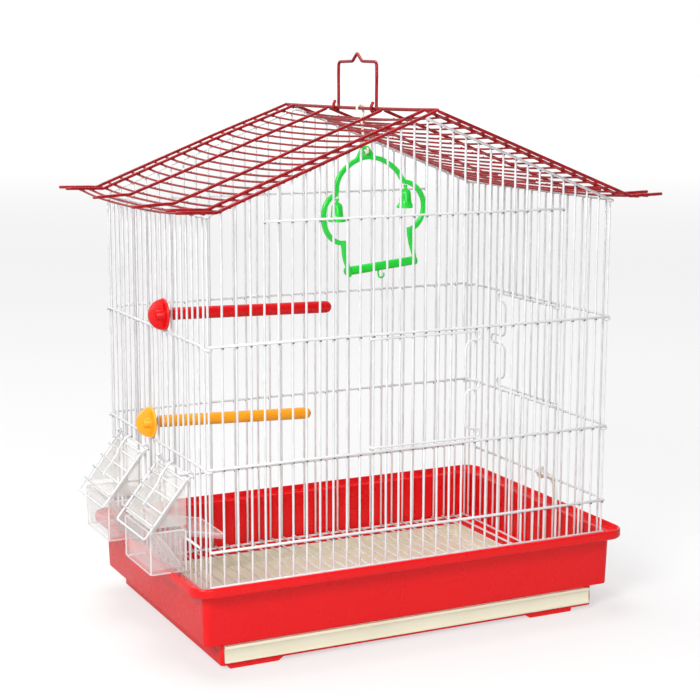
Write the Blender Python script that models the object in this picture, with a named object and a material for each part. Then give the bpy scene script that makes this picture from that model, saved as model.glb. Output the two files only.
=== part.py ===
"""Hanging bird cage: gabled wire top on a moulded base with a pull-out tray.

Frame: +Z up, origin on the standing surface under the middle of the cage,
-Y is the gabled front with the door, -X is the side with the seed cups.
All sizes below are millimetres; mesh data is written in metres.
"""
import bpy
import bmesh
import math
from mathutils import Matrix, Vector

MM = 0.001

# ---------------------------------------------------------------- dimensions
CAGE_W = 400.0          # between the corner wires, X
CAGE_D = 259.4          # between the corner wires, Y
H_RAIL4 = 107.1         # height of the lowest full rail above the surface
RAIL3 = 72.4            # heights above the lowest full rail
RAIL2 = 177.2
STIFFENER = 281.6
WALL_TOP = 287.9        # top of the wall wires
ROOF_SLOPE = 0.393
RIDGE = 371.0           # ridge wire centre
EAVE_KINK_X = 202.0
EAVE_TIP_X = 239.5
EAVE_TIP_Z = 292.5
ROOF_HALF_Y = 158.0
FRONT_WIRES = 32
SIDE_PITCH = 12.9
WIRE = 2.0              # upright wire
RAIL = 2.6              # rail wire, height
DOOR_HINGE_I = 12       # front upright that carries the door
DOOR_FREE_I = 20
PERCH_R = 5.5
SWING_ROLL = math.radians(8.0)

Z0 = H_RAIL4
PITCH = CAGE_W / (FRONT_WIRES - 1)
FRONT_X = [-CAGE_W / 2 + PITCH * i for i in range(FRONT_WIRES)]
SIDE_Y = [SIDE_PITCH * (j + 0.5) for j in range(-10, 10)]
WY = CAGE_D / 2         # centre plane of the front uprights
WX = 200.9              # centre plane of the side uprights
FEEDERS = {"front": -51.6, "rear": 64.5}
AXIS_X, AXIS_Z = -202.9, 59.0   # hinge rods of the feeder flaps
FLAP_TILT = math.radians(38.2)


# ------------------------------------------------------------------- helpers
def clear_scene():
    for ob in list(bpy.data.objects):
        bpy.data.objects.remove(ob, do_unlink=True)


def material(name, rgb, rough, metallic=0.0, alpha=1.0, transmission=0.0):
    mat = bpy.data.materials.new(name)
    mat.use_nodes = True
    bsdf = mat.node_tree.nodes["Principled BSDF"]
    bsdf.inputs["Base Color"].default_value = (rgb[0], rgb[1], rgb[2], 1.0)
    bsdf.inputs["Roughness"].default_value = rough
    bsdf.inputs["Metallic"].default_value = metallic
    bsdf.inputs["Alpha"].default_value = alpha
    bsdf.inputs["Transmission Weight"].default_value = transmission
    return mat


def finish(ob, mat, smooth=None):
    """Metres, faces outwards, one material, optional smooth shading."""
    mesh = ob.data
    bm = bmesh.new()
    bm.from_mesh(mesh)
    bmesh.ops.recalc_face_normals(bm, faces=bm.faces)
    if bm.calc_volume(signed=True) < 0:
        bmesh.ops.reverse_faces(bm, faces=bm.faces)
    bm.to_mesh(mesh)
    bm.free()
    if smooth is not None:
        mesh.shade_smooth()
        mesh.set_sharp_from_angle(angle=math.radians(smooth))
    mesh.materials.clear()
    mesh.materials.append(mat)
    return ob


def add_mesh(name, bm, mat, smooth=None):
    """Object from a bmesh drawn in millimetres."""
    bmesh.ops.scale(bm, vec=(MM, MM, MM), verts=bm.verts)
    mesh = bpy.data.meshes.new(name)
    bm.to_mesh(mesh)
    bm.free()
    ob = bpy.data.objects.new(name, mesh)
    bpy.context.scene.collection.objects.link(ob)
    return finish(ob, mat, smooth)


def combine(ob, tool, operation, own_overlaps=False):
    """Apply an exact boolean at once and drop its tool."""
    tool.hide_render = True
    tool.display_type = "WIRE"
    mod = ob.modifiers.new(operation.lower(), "BOOLEAN")
    mod.operation = operation
    mod.solver = "EXACT"
    mod.use_self = own_overlaps
    mod.object = tool
    bpy.context.view_layer.update()
    graph = bpy.context.evaluated_depsgraph_get()
    mesh = bpy.data.meshes.new_from_object(ob.evaluated_get(graph))
    ob.modifiers.clear()
    old = ob.data
    ob.data = mesh
    bpy.data.meshes.remove(old)
    bpy.data.objects.remove(tool, do_unlink=True)
    return ob


def bars(boxes):
    """Square bars as cubes; each box is x0, x1, y0, y1, z0, z1. Corners are set
    to the box's own numbers, so bars that touch share a plane exactly."""
    bm = bmesh.new()
    for box in boxes:
        cube = bmesh.ops.create_cube(bm, size=1.0)
        for v in cube["verts"]:
            v.co = [round(box[2 * a + (v.co[a] > 0)], 5) for a in range(3)]
    return bm


def welded(name, layers, mat, warp=None, bend=None):
    """Crossing layers of bars joined into one body while straight, then bent.
    warp moves every point; bend is the plane x = bend where it has its kink."""
    ob = add_mesh(name, bars(layers[0]), mat)
    for n, layer in enumerate(layers[1:]):
        combine(ob, add_mesh("layer", bars(layer), mat), "UNION", len(layers[1:]) > 1 or n > 0)
    if warp or bend is not None:
        bm = bmesh.new()
        bm.from_mesh(ob.data)
        if bend is not None:
            everything = list(bm.verts) + list(bm.edges) + list(bm.faces)
            bmesh.ops.bisect_plane(bm, geom=everything, dist=1e-7, plane_co=(bend * MM, 0, 0), plane_no=(1, 0, 0))
        if warp:
            for v in bm.verts:
                v.co = Vector(warp(v.co.x / MM, v.co.y / MM, v.co.z / MM)) * MM
        bm.to_mesh(ob.data)
        bm.free()
    return finish(ob, mat)


def tube(name, path, radius, mat, resolution=2):
    """Round wire: a curve with a bevel and filled ends, kept as a mesh."""
    curve = bpy.data.curves.new(name, "CURVE")
    curve.dimensions = "3D"
    curve.bevel_depth = radius * MM
    curve.bevel_resolution = resolution
    curve.use_fill_caps = True
    curve.twist_mode = "MINIMUM"
    line = curve.splines.new("POLY")
    line.points.add(len(path) - 1)
    for point, co in zip(line.points, path):
        point.co = (co[0] * MM, co[1] * MM, co[2] * MM, 1.0)
    wire = bpy.data.objects.new(name + "_line", curve)
    bpy.context.scene.collection.objects.link(wire)
    bpy.context.view_layer.update()
    graph = bpy.context.evaluated_depsgraph_get()
    mesh = bpy.data.meshes.new_from_object(wire.evaluated_get(graph))
    bpy.data.objects.remove(wire, do_unlink=True)
    bm = bmesh.new()
    bm.from_mesh(mesh)
    bmesh.ops.remove_doubles(bm, verts=bm.verts, dist=1e-6)
    bm.to_mesh(mesh)
    bm.free()
    ob = bpy.data.objects.new(name, mesh)
    bpy.context.scene.collection.objects.link(ob)
    return finish(ob, mat, 50)


def prism(outline, axis, lo, hi):
    """Outline (2-D) extruded through lo..hi along the named axis."""
    place = {
        "x": lambda u, v: (lo, u, v),
        "y": lambda u, v: (u, lo, v),
        "z": lambda u, v: (u, v, lo),
    }[axis]
    step = {"x": (hi - lo, 0, 0), "y": (0, hi - lo, 0), "z": (0, 0, hi - lo)}[axis]
    bm = bmesh.new()
    face = bm.faces.new([bm.verts.new(place(u, v)) for u, v in outline])
    out = bmesh.ops.extrude_face_region(bm, geom=[face], use_keep_orig=True)
    moved = [g for g in out["geom"] if isinstance(g, bmesh.types.BMVert)]
    bmesh.ops.translate(bm, vec=step, verts=moved)
    return bm


def turned(profile, centre, axis, sides=20):
    """Profile (distance along the axis, radius) spun round the named axis."""
    along = {"x": Vector((1, 0, 0)), "y": Vector((0, 1, 0)), "z": Vector((0, 0, 1))}[axis]
    across = {"x": Vector((0, 1, 0)), "y": Vector((0, 0, 1)), "z": Vector((1, 0, 0))}[axis]
    c = Vector(centre)
    bm = bmesh.new()
    line = [bm.verts.new(c + along * profile[0][0])]
    line += [bm.verts.new(c + along * d + across * r) for d, r in profile]
    line.append(bm.verts.new(c + along * profile[-1][0]))
    edges = [bm.edges.new(pair) for pair in zip(line, line[1:])]
    bmesh.ops.spin(bm, geom=line + edges, cent=c, axis=along, angle=2 * math.pi, steps=sides,
                   use_merge=True, use_normal_flip=False, use_duplicate=False)
    bmesh.ops.remove_doubles(bm, verts=bm.verts, dist=1e-4)
    return bm


def round_rect(hx, hy, r, z, seg=4):
    pts = []
    for cx, cy, a0 in ((hx - r, hy - r, 0), (r - hx, hy - r, 90), (r - hx, r - hy, 180), (hx - r, r - hy, 270)):
        for s in range(seg + 1):
            a = math.radians(a0 + 90.0 * s / seg)
            pts.append((cx + r * math.cos(a), cy + r * math.sin(a), z))
    return pts


def shell(rings, closed=False):
    """First ring filled, then its edge extruded from ring to ring and closed.
    A closed shell has no ends: its last ring runs back to its first."""
    bm = bmesh.new()
    verts = [bm.verts.new(p) for p in rings[0]]
    cap = bm.faces.new(verts)
    first = list(verts)
    n = len(verts)
    for ring in rings[1:]:
        edges = [bm.edges.get((verts[k], verts[(k + 1) % n])) for k in range(n)]
        out = bmesh.ops.extrude_edge_only(bm, edges=edges)
        fresh = set(g for g in out["geom"] if isinstance(g, bmesh.types.BMVert))
        verts = [[e.other_vert(v) for e in v.link_edges if e.other_vert(v) in fresh][0] for v in verts]
        for v, p in zip(verts, ring):
            v.co = p
    if closed:
        bm.faces.remove(cap)
        for k in range(n):
            m = (k + 1) % n
            bm.faces.new([first[k], first[m], verts[m], verts[k]])
    else:
        bm.faces.new(verts)
    return bm


def bar(c, size):
    return (c - size / 2, c + size / 2)


def hang_from(ob, pivot):
    """Put the object's origin on its joint, leaving the shape where it is."""
    place = Matrix.Translation(Vector(pivot) * MM)
    ob.data.transform(place.inverted())
    ob.matrix_world = place
    return ob


def pivot_empty(name, pivot):
    """Empty on a joint shared by several pieces."""
    ob = bpy.data.objects.new(name, None)
    ob.location = Vector(pivot) * MM
    bpy.context.scene.collection.objects.link(ob)
    bpy.context.view_layer.update()
    return ob


def carry(ob, parent):
    """Parent without moving."""
    ob.parent = parent
    ob.matrix_parent_inverse = parent.matrix_world.inverted()


clear_scene()

RED = material("base_red", (0.80, 0.02, 0.03), 0.35)
ROOF_RED = material("roof_red_coating", (0.38, 0.01, 0.02), 0.4)
WHITE = material("white_coated_wire", (0.86, 0.87, 0.88), 0.4)
CREAM = material("tray_cream", (0.86, 0.80, 0.64), 0.45)
IVORY = material("clip_ivory", (0.84, 0.80, 0.66), 0.45)
GREEN = material("swing_green", (0.02, 0.62, 0.08), 0.35)
PERCH_RED = material("perch_red_plastic", (0.75, 0.02, 0.02), 0.35)
PERCH_YELLOW = material("perch_yellow_plastic", (0.95, 0.45, 0.02), 0.35)
CLEAR = material("clear_plastic", (0.95, 0.96, 0.97), 0.08, 0.0, 0.35, 0.9)

# ------------------------------------------------------- front and back panel
G_LO, G_HI = WALL_TOP - RAIL + Z0, WALL_TOP + Z0     # gable wire before shearing
OUT = (-WY - WIRE / 2 - 2.5, -WY - WIRE / 2)         # rails lie outside the uprights
UP = bar(-WY, WIRE)
RAIL_HEIGHTS = (0.0, RAIL3, RAIL2)
FOOT_Z = -80.3 + Z0                                   # wires stand on the tub's lower ledge
CURB = (-32.2 + Z0, -29.8 + Z0)                       # extra rail at the rim, front only


def gable_layers(with_door):
    uprights, rails = [], []
    for i, x in enumerate(FRONT_X):
        spans = [(FOOT_Z, G_HI)]
        if with_door and DOOR_HINGE_I < i < DOOR_FREE_I:
            spans = [(FOOT_Z, RAIL3 + RAIL / 2 + Z0), (RAIL2 - RAIL / 2 + Z0, G_HI)]
        for z in spans:
            uprights.append(bar(x, WIRE) + UP + z)
    x_end = CAGE_W / 2 + 1.0
    for h in RAIL_HEIGHTS:
        rails.append((-x_end, x_end) + OUT + bar(h + Z0, RAIL))
    if with_door:
        rails.append((-x_end, x_end) + OUT + CURB)
    rails.append((-x_end, x_end) + OUT + (G_LO, G_HI))
    rails.append((FRONT_X[4] - 0.6, FRONT_X[27] + 0.6) + OUT + bar(STIFFENER - 1.4 + Z0, 2.0))
    return [uprights, rails]


def gable(side):
    """Everything at and above the gable wire leans with the roof."""
    def warp(x, y, z):
        if z >= G_LO - 0.01:
            z += ROOF_SLOPE * (CAGE_W / 2 - abs(x))
        return (x, side * y, z)
    return warp


welded("front_panel", gable_layers(True), WHITE, gable(1), 0.0)
welded("back_panel", gable_layers(False), WHITE, gable(-1), 0.0)

# --------------------------------------------------------------- side panels
SIDE_UP = bar(-WX, WIRE)
SIDE_OUT = (-WX - WIRE / 2 - 2.5, -WX - WIRE / 2)
SIDE_END = 130.0
SIDE_TOP = G_HI - 0.4
SIDE_HINGE_J = [j for j, y in enumerate(SIDE_Y) if abs(y + 45.15) < 0.1][0]
SIDE_FREE_J = SIDE_HINGE_J + 9


def side_layers(kind):
    uprights, rails = [], []
    for j, y in enumerate(SIDE_Y):
        spans = [(FOOT_Z, SIDE_TOP)]
        if kind == "door" and SIDE_HINGE_J < j < SIDE_FREE_J:
            spans = [(FOOT_Z, RAIL3 + RAIL / 2 + Z0), (RAIL2 - RAIL / 2 + Z0, SIDE_TOP)]
        if kind == "feeders" and any(abs(y - c) < 26.0 for c in FEEDERS.values()):
            spans = [(FOOT_Z, RAIL / 2 + Z0), (AXIS_Z - 1.0 + Z0, SIDE_TOP)]
        for z in spans:
            uprights.append(SIDE_UP + bar(y, WIRE) + z)
    for h in RAIL_HEIGHTS:
        rails.append(SIDE_OUT + (-SIDE_END, SIDE_END) + bar(h + Z0, RAIL))
    rails.append(SIDE_OUT + (-SIDE_END, SIDE_END) + (SIDE_TOP - RAIL, SIDE_TOP))
    if kind == "feeders":
        for c in FEEDERS.values():
            rails.append(bar(AXIS_X, 2.0) + bar(c, 92.3) + bar(AXIS_Z + Z0, 2.0))
    return [uprights, rails]


welded("left_panel", side_layers("feeders"), WHITE)
welded("right_panel", side_layers("door"), WHITE, lambda x, y, z: (-x, y, z))


# -------------------------------------------------------------------- doors
def door_layers(end, frame, reach, step, count):
    """Door in its own frame: u from the hinge wire to the free side, v outwards,
    w up. The hinge wire stands on u = 0, v = 0. frame is the middle of the free
    upright, reach the end of its latch loop."""
    v_up = (0.05, 2.05)
    v_rail = (2.05, 4.15)
    lo, hi = 75.1 + Z0, 174.5 + Z0
    frame_u = bar(frame, 2.0)
    loop_u = reach
    loop_z = (119.4 + Z0, 130.2 + Z0)
    wires = [bar(step * k, WIRE) + v_up + (lo, hi) for k in range(1, count + 1)]
    rails, curls, tips = [], [], []
    for z in ((lo, lo + 2.1), (hi - 2.1, hi)):
        rails.append((-3.85, end) + v_rail + z)
        curls.append((-3.85, -1.75) + (-3.85, v_rail[0]) + z)      # curl round the hinge wire
        tips.append((-1.75, 1.75) + (-3.85, -1.75) + z)
    # one frame wire: stop, upright, latch loop, upright, stop
    frame = [
        frame_u + v_rail + (loop_z[1] - 2.0, hi - 6.0),
        frame_u + v_rail + (lo + 6.0, loop_z[0] + 2.0),
        (loop_u - 2.0, loop_u) + v_rail + loop_z,
    ]
    stops = [
        (frame_u[0], end) + v_rail + (hi - 8.1, hi - 6.0),
        (frame_u[0], end) + v_rail + (lo + 6.0, lo + 8.1),
        (frame_u[0], loop_u) + v_rail + (loop_z[1] - 2.0, loop_z[1]),
        (frame_u[0], loop_u) + v_rail + (loop_z[0], loop_z[0] + 2.0),
    ]
    ends = [
        (end - 2.0, end) + v_rail + (hi - 8.1, hi),
        (end - 2.0, end) + v_rail + (lo, lo + 8.1),
    ]
    return [rails, curls, tips, frame, stops, ends, wires]


hinge_x = FRONT_X[DOOR_HINGE_I]
door = welded("front_door", door_layers(8 * PITCH + 4.0, 91.4, 8 * PITCH + 3.4, PITCH, 6), WHITE, lambda u, v, w: (hinge_x + u, -WY - v, w))
hang_from(door, (hinge_x, -WY, RAIL3 + Z0))
hinge_y = SIDE_Y[SIDE_HINGE_J]
door = welded("side_door", door_layers(9 * SIDE_PITCH + 1.4, 102.2, 130.4, 12.15, 7), WHITE, lambda u, v, w: (WX + v, hinge_y + u, w))
hang_from(door, (WX, hinge_y, RAIL3 + Z0))

# --------------------------------------------------------------------- roof
ALPHA = math.atan(ROOF_SLOPE)
S_KINK = EAVE_KINK_X / math.cos(ALPHA)
KINK_Z = RIDGE - ROOF_SLOPE * EAVE_KINK_X
FLARE = math.atan2(EAVE_TIP_Z - KINK_Z, EAVE_TIP_X - EAVE_KINK_X)
S_END = S_KINK + math.hypot(EAVE_TIP_Z - KINK_Z, EAVE_TIP_X - EAVE_KINK_X)
RAFTER_Y = (-ROOF_HALF_Y, -136.0, -57.5, 57.5, 136.0, ROOF_HALF_Y)
PURLIN_S = [S_KINK / 17.0 * k for k in range(1, 18)] + [S_KINK + 10.0, S_KINK + 20.0]


def roof_place(sign):
    """s runs down the slope from the ridge, t is the height over the rafters'
    middle; past the kink the rafters flatten to form the eave."""
    n1 = (math.sin(ALPHA), math.cos(ALPHA))
    n2 = (-math.sin(FLARE), math.cos(FLARE))
    mid = ((n1[0] + n2[0]) / 2, (n1[1] + n2[1]) / 2)
    k = 1.0 / (mid[0] * n1[0] + mid[1] * n1[1])
    miter = (mid[0] * k, mid[1] * k)

    def warp(s, y, t):
        if abs(s - S_KINK) < 1e-3:
            base, n = (EAVE_KINK_X, KINK_Z), miter
        elif s < S_KINK:
            base, n = (s * math.cos(ALPHA), RIDGE - s * math.sin(ALPHA)), n1
        else:
            d = s - S_KINK
            base, n = (EAVE_KINK_X + d * math.cos(FLARE), KINK_Z + d * math.sin(FLARE)), n2
        return (sign * (base[0] + n[0] * t), y, base[1] + n[1] * t + Z0)

    return warp


rafters = [(2.4, S_END) + bar(y, 3.2) + (-1.6, 1.6) for y in RAFTER_Y]
purlins = [bar(s, WIRE) + (-ROOF_HALF_Y - 1.6, ROOF_HALF_Y + 1.6) + (-3.6, -1.6) for s in PURLIN_S]
welded("roof_left", [rafters, purlins], ROOF_RED, roof_place(-1), S_KINK)
welded("roof_right", [rafters, purlins], ROOF_RED, roof_place(1), S_KINK)
R = RIDGE + Z0
tube("roof_ridge", [(0, -159.6, R), (0, 159.6, R)], 1.7, ROOF_RED)

# ---------------------------------------------------------------- bail handle
HOOK_R = 3.6


def hook(y):
    """Wire end wrapped under the ridge: down on the right, up to a tip on the left."""
    points = [(HOOK_R, y, R + 10.0), (HOOK_R, y, R + 3.0)]
    for k in range(9):
        a = math.radians(90 + 180.0 * k / 8)
        points.append((HOOK_R * math.sin(a), y - 0.3 * k, R + HOOK_R * math.cos(a)))
    points.append((-HOOK_R, y - 2.6, R + 2.4))
    points.append((-2.7, y - 2.9, R + 5.4))
    return points


rear, front = 41.2, -38.3
top = R + 40.8
bail = list(reversed(hook(rear)))
bail += [(HOOK_R, rear, top - 4.0), (HOOK_R, rear - 1.2, top - 1.4), (HOOK_R, rear - 4.0, top)]
bail += [(HOOK_R, 1.5 + d, top + h) for d, h in ((9.0, 0.6), (5.4, 2.0), (3.2, 4.2), (1.0, 6.8), (-1.0, 6.8), (-3.2, 4.2), (-5.4, 2.0), (-9.0, 0.6))]
bail += [(HOOK_R, front + 4.0, top), (HOOK_R, front + 1.2, top - 1.4), (HOOK_R, front, top - 4.0)]
bail += hook(front)
hang_from(tube("bail_handle", bail, 1.5, ROOF_RED), (0, 0, R))

# ------------------------------------------------------------------ base tub
def ring_at(hx, hy, r, z):
    return round_rect(hx, hy, r, z + Z0)


base = add_mesh("base_tub", shell([
    ring_at(188.8, 126.9, 1.5, -83.1),
    ring_at(207.0, 132.9, 5.0, -83.1),
    ring_at(208.6, 134.4, 6.5, -36.5),
    ring_at(219.8, 144.6, 16.5, -36.5),
    ring_at(221.4, 146.0, 18.0, -35.0),
    ring_at(221.4, 146.0, 18.0, -28.6),
    ring_at(220.4, 145.0, 17.0, -27.5),
    ring_at(219.0, 143.6, 15.6, -27.5),
    ring_at(218.2, 142.8, 14.8, -32.5),
    ring_at(207.0, 133.1, 5.2, -32.5),
    ring_at(206.4, 132.5, 4.6, -33.6),
    ring_at(205.2, 131.3, 3.4, -80.6),
    ring_at(188.8, 126.9, 1.5, -80.6),
], True), RED)
finish(base, RED, 35)

# ---------------------------------------------------- base frame, tray and feet
frame = add_mesh("base_frame", shell([
    ring_at(191.2, 129.4, 3.0, -103.6),
    ring_at(191.2, 129.4, 3.0, -83.4),
    ring_at(188.8, 126.9, 1.5, -83.4),
    ring_at(188.8, 126.9, 1.5, -101.6),
]), RED)
combine(frame, add_mesh("slot", bars([(-188.4, 188.4, -140.0, -120.0, -101.6 + Z0, -85.1 + Z0)]), RED), "DIFFERENCE")
for sx in (-1, 1):
    for sy in (-1, 1):
        inner, outer = (116.0, 169.0) if sx > 0 else (130.0, 183.0)
        outline = [(outer, -107.1), (outer + 1.0, -102.6), (inner, -102.6), (inner + 6.5, -107.1)]
        y0, y1 = sorted((sy * 128.6, sy * 96.0))
        foot = add_mesh("foot", prism([(sx * x, z + Z0) for x, z in outline], "y", y0, y1), RED)
        combine(frame, foot, "UNION")
finish(frame, RED, 35)

# -------------------------------------------------------------- pull-out tray
tray = [
    round_rect(187.6, 127.6, 2.5, -101.2),
    round_rect(187.9, 127.9, 2.5, -87.4),
    round_rect(185.9, 125.9, 1.5, -87.4),
    round_rect(185.6, 125.6, 1.5, -99.3),
]
tray = [[(x, y - 1.6, z + Z0) for x, y, z in ring] for ring in tray]
drawer = add_mesh("drawer_tray", shell(tray), CREAM)
section = [(-128.6, -101.1), (-131.6, -101.1), (-130.9, -96.0), (-130.7, -91.0), (-131.3, -87.6), (-131.6, -85.6),
           (-128.6, -85.6)]
combine(drawer, add_mesh("tray_face", prism([(y, z + Z0) for y, z in section], "x", -188.0, 188.0), CREAM), "UNION")
finish(drawer, CREAM)
hang_from(drawer, (0, -131.6, -101.2 + Z0))

# ---------------------------------------------------------------- floor grate
grate_bars = [bar(-196.0 + 392.0 / 31 * i, WIRE) + (-127.6, 127.6) + (-78.3 + Z0, -76.3 + Z0) for i in range(32)]
grate_ties = [(-199.0, 199.0) + bar(y, 2.0) + (-80.3 + Z0, -78.3 + Z0) for y in (-126.6, 0.0, 126.6)]
welded("floor_grate", [grate_bars, grate_ties], WHITE)

# ------------------------------------------------------ feeder flaps and hoods
SIN, COS = math.sin(FLAP_TILT), math.cos(FLAP_TILT)
FLAP_HALF = 37.6


def flap_place(centre):
    """r runs down the flap from its hinge, n outwards from its face."""
    def place(r, y, n):
        return (AXIS_X - r * SIN - n * COS, centre + y, AXIS_Z + Z0 - r * COS + n * SIN)
    return place


def flap_layers():
    sides, rings, tips, backs, cross, rib = [], [], [], [], [], []
    for s in (-1, 1):
        side = (s * FLAP_HALF - 1.0, s * FLAP_HALF + 1.0)
        sides.append((3.75, 68.2) + side + (-1.0, 1.0))
        rings.append((1.75, 3.75) + side + (-3.75, 3.75))
        tips.append((-1.75, 1.75) + side + (-3.75, -1.75))
        backs.append((-3.75, -1.75) + side + (-3.75, 3.75))
    for r in (6.4, 14.6, 27.6, 41.0, 54.4, 67.3):
        cross.append(bar(r, 1.8) + (-FLAP_HALF - 1.0, FLAP_HALF + 1.0) + (1.0, 2.8))
    rib.append((4.6, 43.0) + (3.0, 4.8) + (2.8, 4.6))
    return [sides, rings, tips, backs, cross, rib]


def cheek(place, y0, y1):
    """Side wall of the hood, a thin slanted plate under its sheet."""
    top, foot = place(9.0, 0, -3.2), place(55.0, 0, -3.2)
    low = Z0 + 14.0
    outline = [(top[0], top[2]), (foot[0], foot[2]), (foot[0] + 3.0, low), (-205.4, low), (-205.4, top[2])]
    return prism(outline, "y", y0, y1)


for tag, centre in FEEDERS.items():
    place = flap_place(centre)
    pivot = (AXIS_X, centre, AXIS_Z + Z0)
    flap = welded("feeder_flap_" + tag, flap_layers(), WHITE, place)
    hood = welded("feeder_hood_" + tag, [
        [(5.2, 57.0, -35.6, 35.6, -3.6, -2.2)],
        [(5.2, 8.4, -35.6, 35.6, -4.6, -1.9)],
        [(54.8, 57.0, -35.6, 35.6, -3.9, -1.6)]], CLEAR, place)
    for s in (-1, 1):
        a, b = sorted((centre + s * 35.4, centre + s * 34.2))
        combine(hood, add_mesh("cheek", cheek(place, a, b), CLEAR), "UNION")
    finish(hood, CLEAR)
    hang_from(flap, pivot)
    hang_from(hood, pivot)
    joint = pivot_empty("feeder_hinge_" + tag, pivot)
    carry(flap, joint)
    carry(hood, joint)

# --------------------------------------------------------------- feeder cups
for tag, centre in FEEDERS.items():
    z_lo, z_rim = -27.2 + Z0, 10.0 + Z0
    p_lo, p_hi = 1.7 + Z0, 3.7 + Z0
    x_out, x_in, tip = -238.4, -205.0, -170.5
    h, hn = 34.0, 29.5
    cup = welded("feeder_cup_" + tag, [
        [(x_out, x_in, centre - h, centre + h, z_lo, z_lo + 1.6)],
        [(x_out, x_out + 1.6, centre - h, centre + h, z_lo + 1.6, z_rim)],
        [(x_in - 1.6, x_in, centre - h, centre + h, z_lo + 1.6, p_lo)],
        [(x_out + 1.6, x_in, centre - h, centre - h + 1.6, z_lo + 1.6, z_rim)],
        [(x_out + 1.6, x_in, centre + h - 1.6, centre + h, z_lo + 1.6, z_rim)],
        [(x_in - 1.6, tip, centre - hn, centre + hn, p_lo, p_hi)],
        [(tip - 1.6, tip, centre - hn, centre + hn, p_hi, p_hi + 3.0)],
        [(x_in - 1.6, tip - 1.6, centre - hn, centre - hn + 1.6, p_hi, p_hi + 3.0)],
        [(x_in - 1.6, tip - 1.6, centre + hn - 1.6, centre + hn, p_hi, p_hi + 3.0)]], CLEAR)
    hang_from(cup, (x_in, centre, p_lo))


# -------------------------------------------------------------------- perches
def perch(name, y, z, slope, mat, short=0.0):
    """Rod with rounded ends; a thin neck passes between the wires to the plug."""
    zc = z + Z0
    stations = [(-209.4, 2.6), (-199.0, 2.6), (-198.8, PERCH_R - 0.6), (-197.8, PERCH_R), (-47.5 - short, PERCH_R),
                (-45.0 - short, PERCH_R - 0.8), (-43.4 - short, PERCH_R - 2.6), (-42.9 - short, 1.4)]
    rings, sides = [], 14
    for x, r in stations:
        zz = zc - max(0.0, x + 199.0) * slope
        rings.append([(x, y + r * math.cos(2 * math.pi * k / sides), zz + r * math.sin(2 * math.pi * k / sides))
                      for k in range(sides)])
    add_mesh(name, shell(rings), mat, 40)
    plug = add_mesh(name + "_plug", turned([(-207.2, 13.8), (-206.6, 14.4), (-205.3, 14.4), (-204.8, 13.9)],
                                           (0, y, zc), "x", 24), mat)
    outline = []
    for k in range(1, 12):
        a = math.radians(-90 + 180.0 * k / 12)
        outline.append((-206.0 - 13.9 * math.cos(a), 13.6 * math.sin(a) + zc))
    combine(plug, add_mesh("grip", prism(outline, "y", y - 2.0, y + 2.0), mat), "UNION")
    combine(plug, add_mesh("boss", turned([(-214.0, 4.8), (-206.0, 5.6)], (0, y, zc), "x", 14), mat), "UNION")
    combine(plug, add_mesh("bore", turned([(-210.2, 3.0), (-203.0, 3.0)], (0, y, zc), "x", 14), mat), "DIFFERENCE")
    finish(plug, mat, 40)


perch("perch_red", -38.7, 193.0, 0.022, PERCH_RED)
perch("perch_yellow", 0.0, 88.6, 0.040, PERCH_YELLOW, 3.0)

# ---------------------------------------------------------------------- swing
SWING_Y = -10.5
EYE_V = -42.6
SC, SS = math.cos(SWING_ROLL), math.sin(SWING_ROLL)


def sw(u, v, y=0.0):
    """Swing frame: u to the right, v up from the ridge wire, hanging rolled."""
    return (u * SC - v * SS, SWING_Y + y, R + u * SS + v * SC)


path = []
for k in range(9):
    a = math.radians(200 - 200.0 * k / 8)
    path.append(sw(3.8 * math.cos(a), 3.8 * math.sin(a)))
path += [sw(3.2, -4.6), sw(0.8, -11.0), sw(0.0, -17.0), sw(0, -28.0), sw(0, -31.6, 1.8), sw(0, -35.0, 5.0),
         sw(0, -38.5, 6.2), sw(0, -41.2, 5.4), sw(0, -42.9, 3.4), sw(0, -43.2), sw(0, -42.9, -3.4), sw(0, -41.2, -5.2),
         sw(0, -38.4, -5.8)]
hanger = tube("swing_hanger", path, 1.2, IVORY)
hang_from(hanger, sw(0, 0))
SWING_PIVOT = sw(0, EYE_V)


def flat_strip(line):
    """Rings across a strip; each point of line is u, v, width."""
    rings = []
    for i, (u, v, w) in enumerate(line):
        a, b = line[max(i - 1, 0)], line[min(i + 1, len(line) - 1)]
        du, dv = b[0] - a[0], b[1] - a[1]
        ln = math.hypot(du, dv)
        nu, nv = -dv / ln * w / 2, du / ln * w / 2
        rings.append([sw(u + nu, v + nv, -2.0), sw(u - nu, v - nv, -2.0), sw(u - nu, v - nv, 2.0),
                      sw(u + nu, v + nv, 2.0)])
    return rings


def lean(v):
    """The moulding is not quite straight: its middle line at height v."""
    keys = ((-160.0, 0.3), (-130.0, 1.0), (-99.0, 1.8), (-77.0, 0.5), (-60.0, -1.6), (-40.0, -1.6))
    for (v0, u0), (v1, u1) in zip(keys, keys[1:]):
        if v <= v1:
            return u0 + (u1 - u0) * (v - v0) / (v1 - v0)
    return keys[-1][1]


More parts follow.
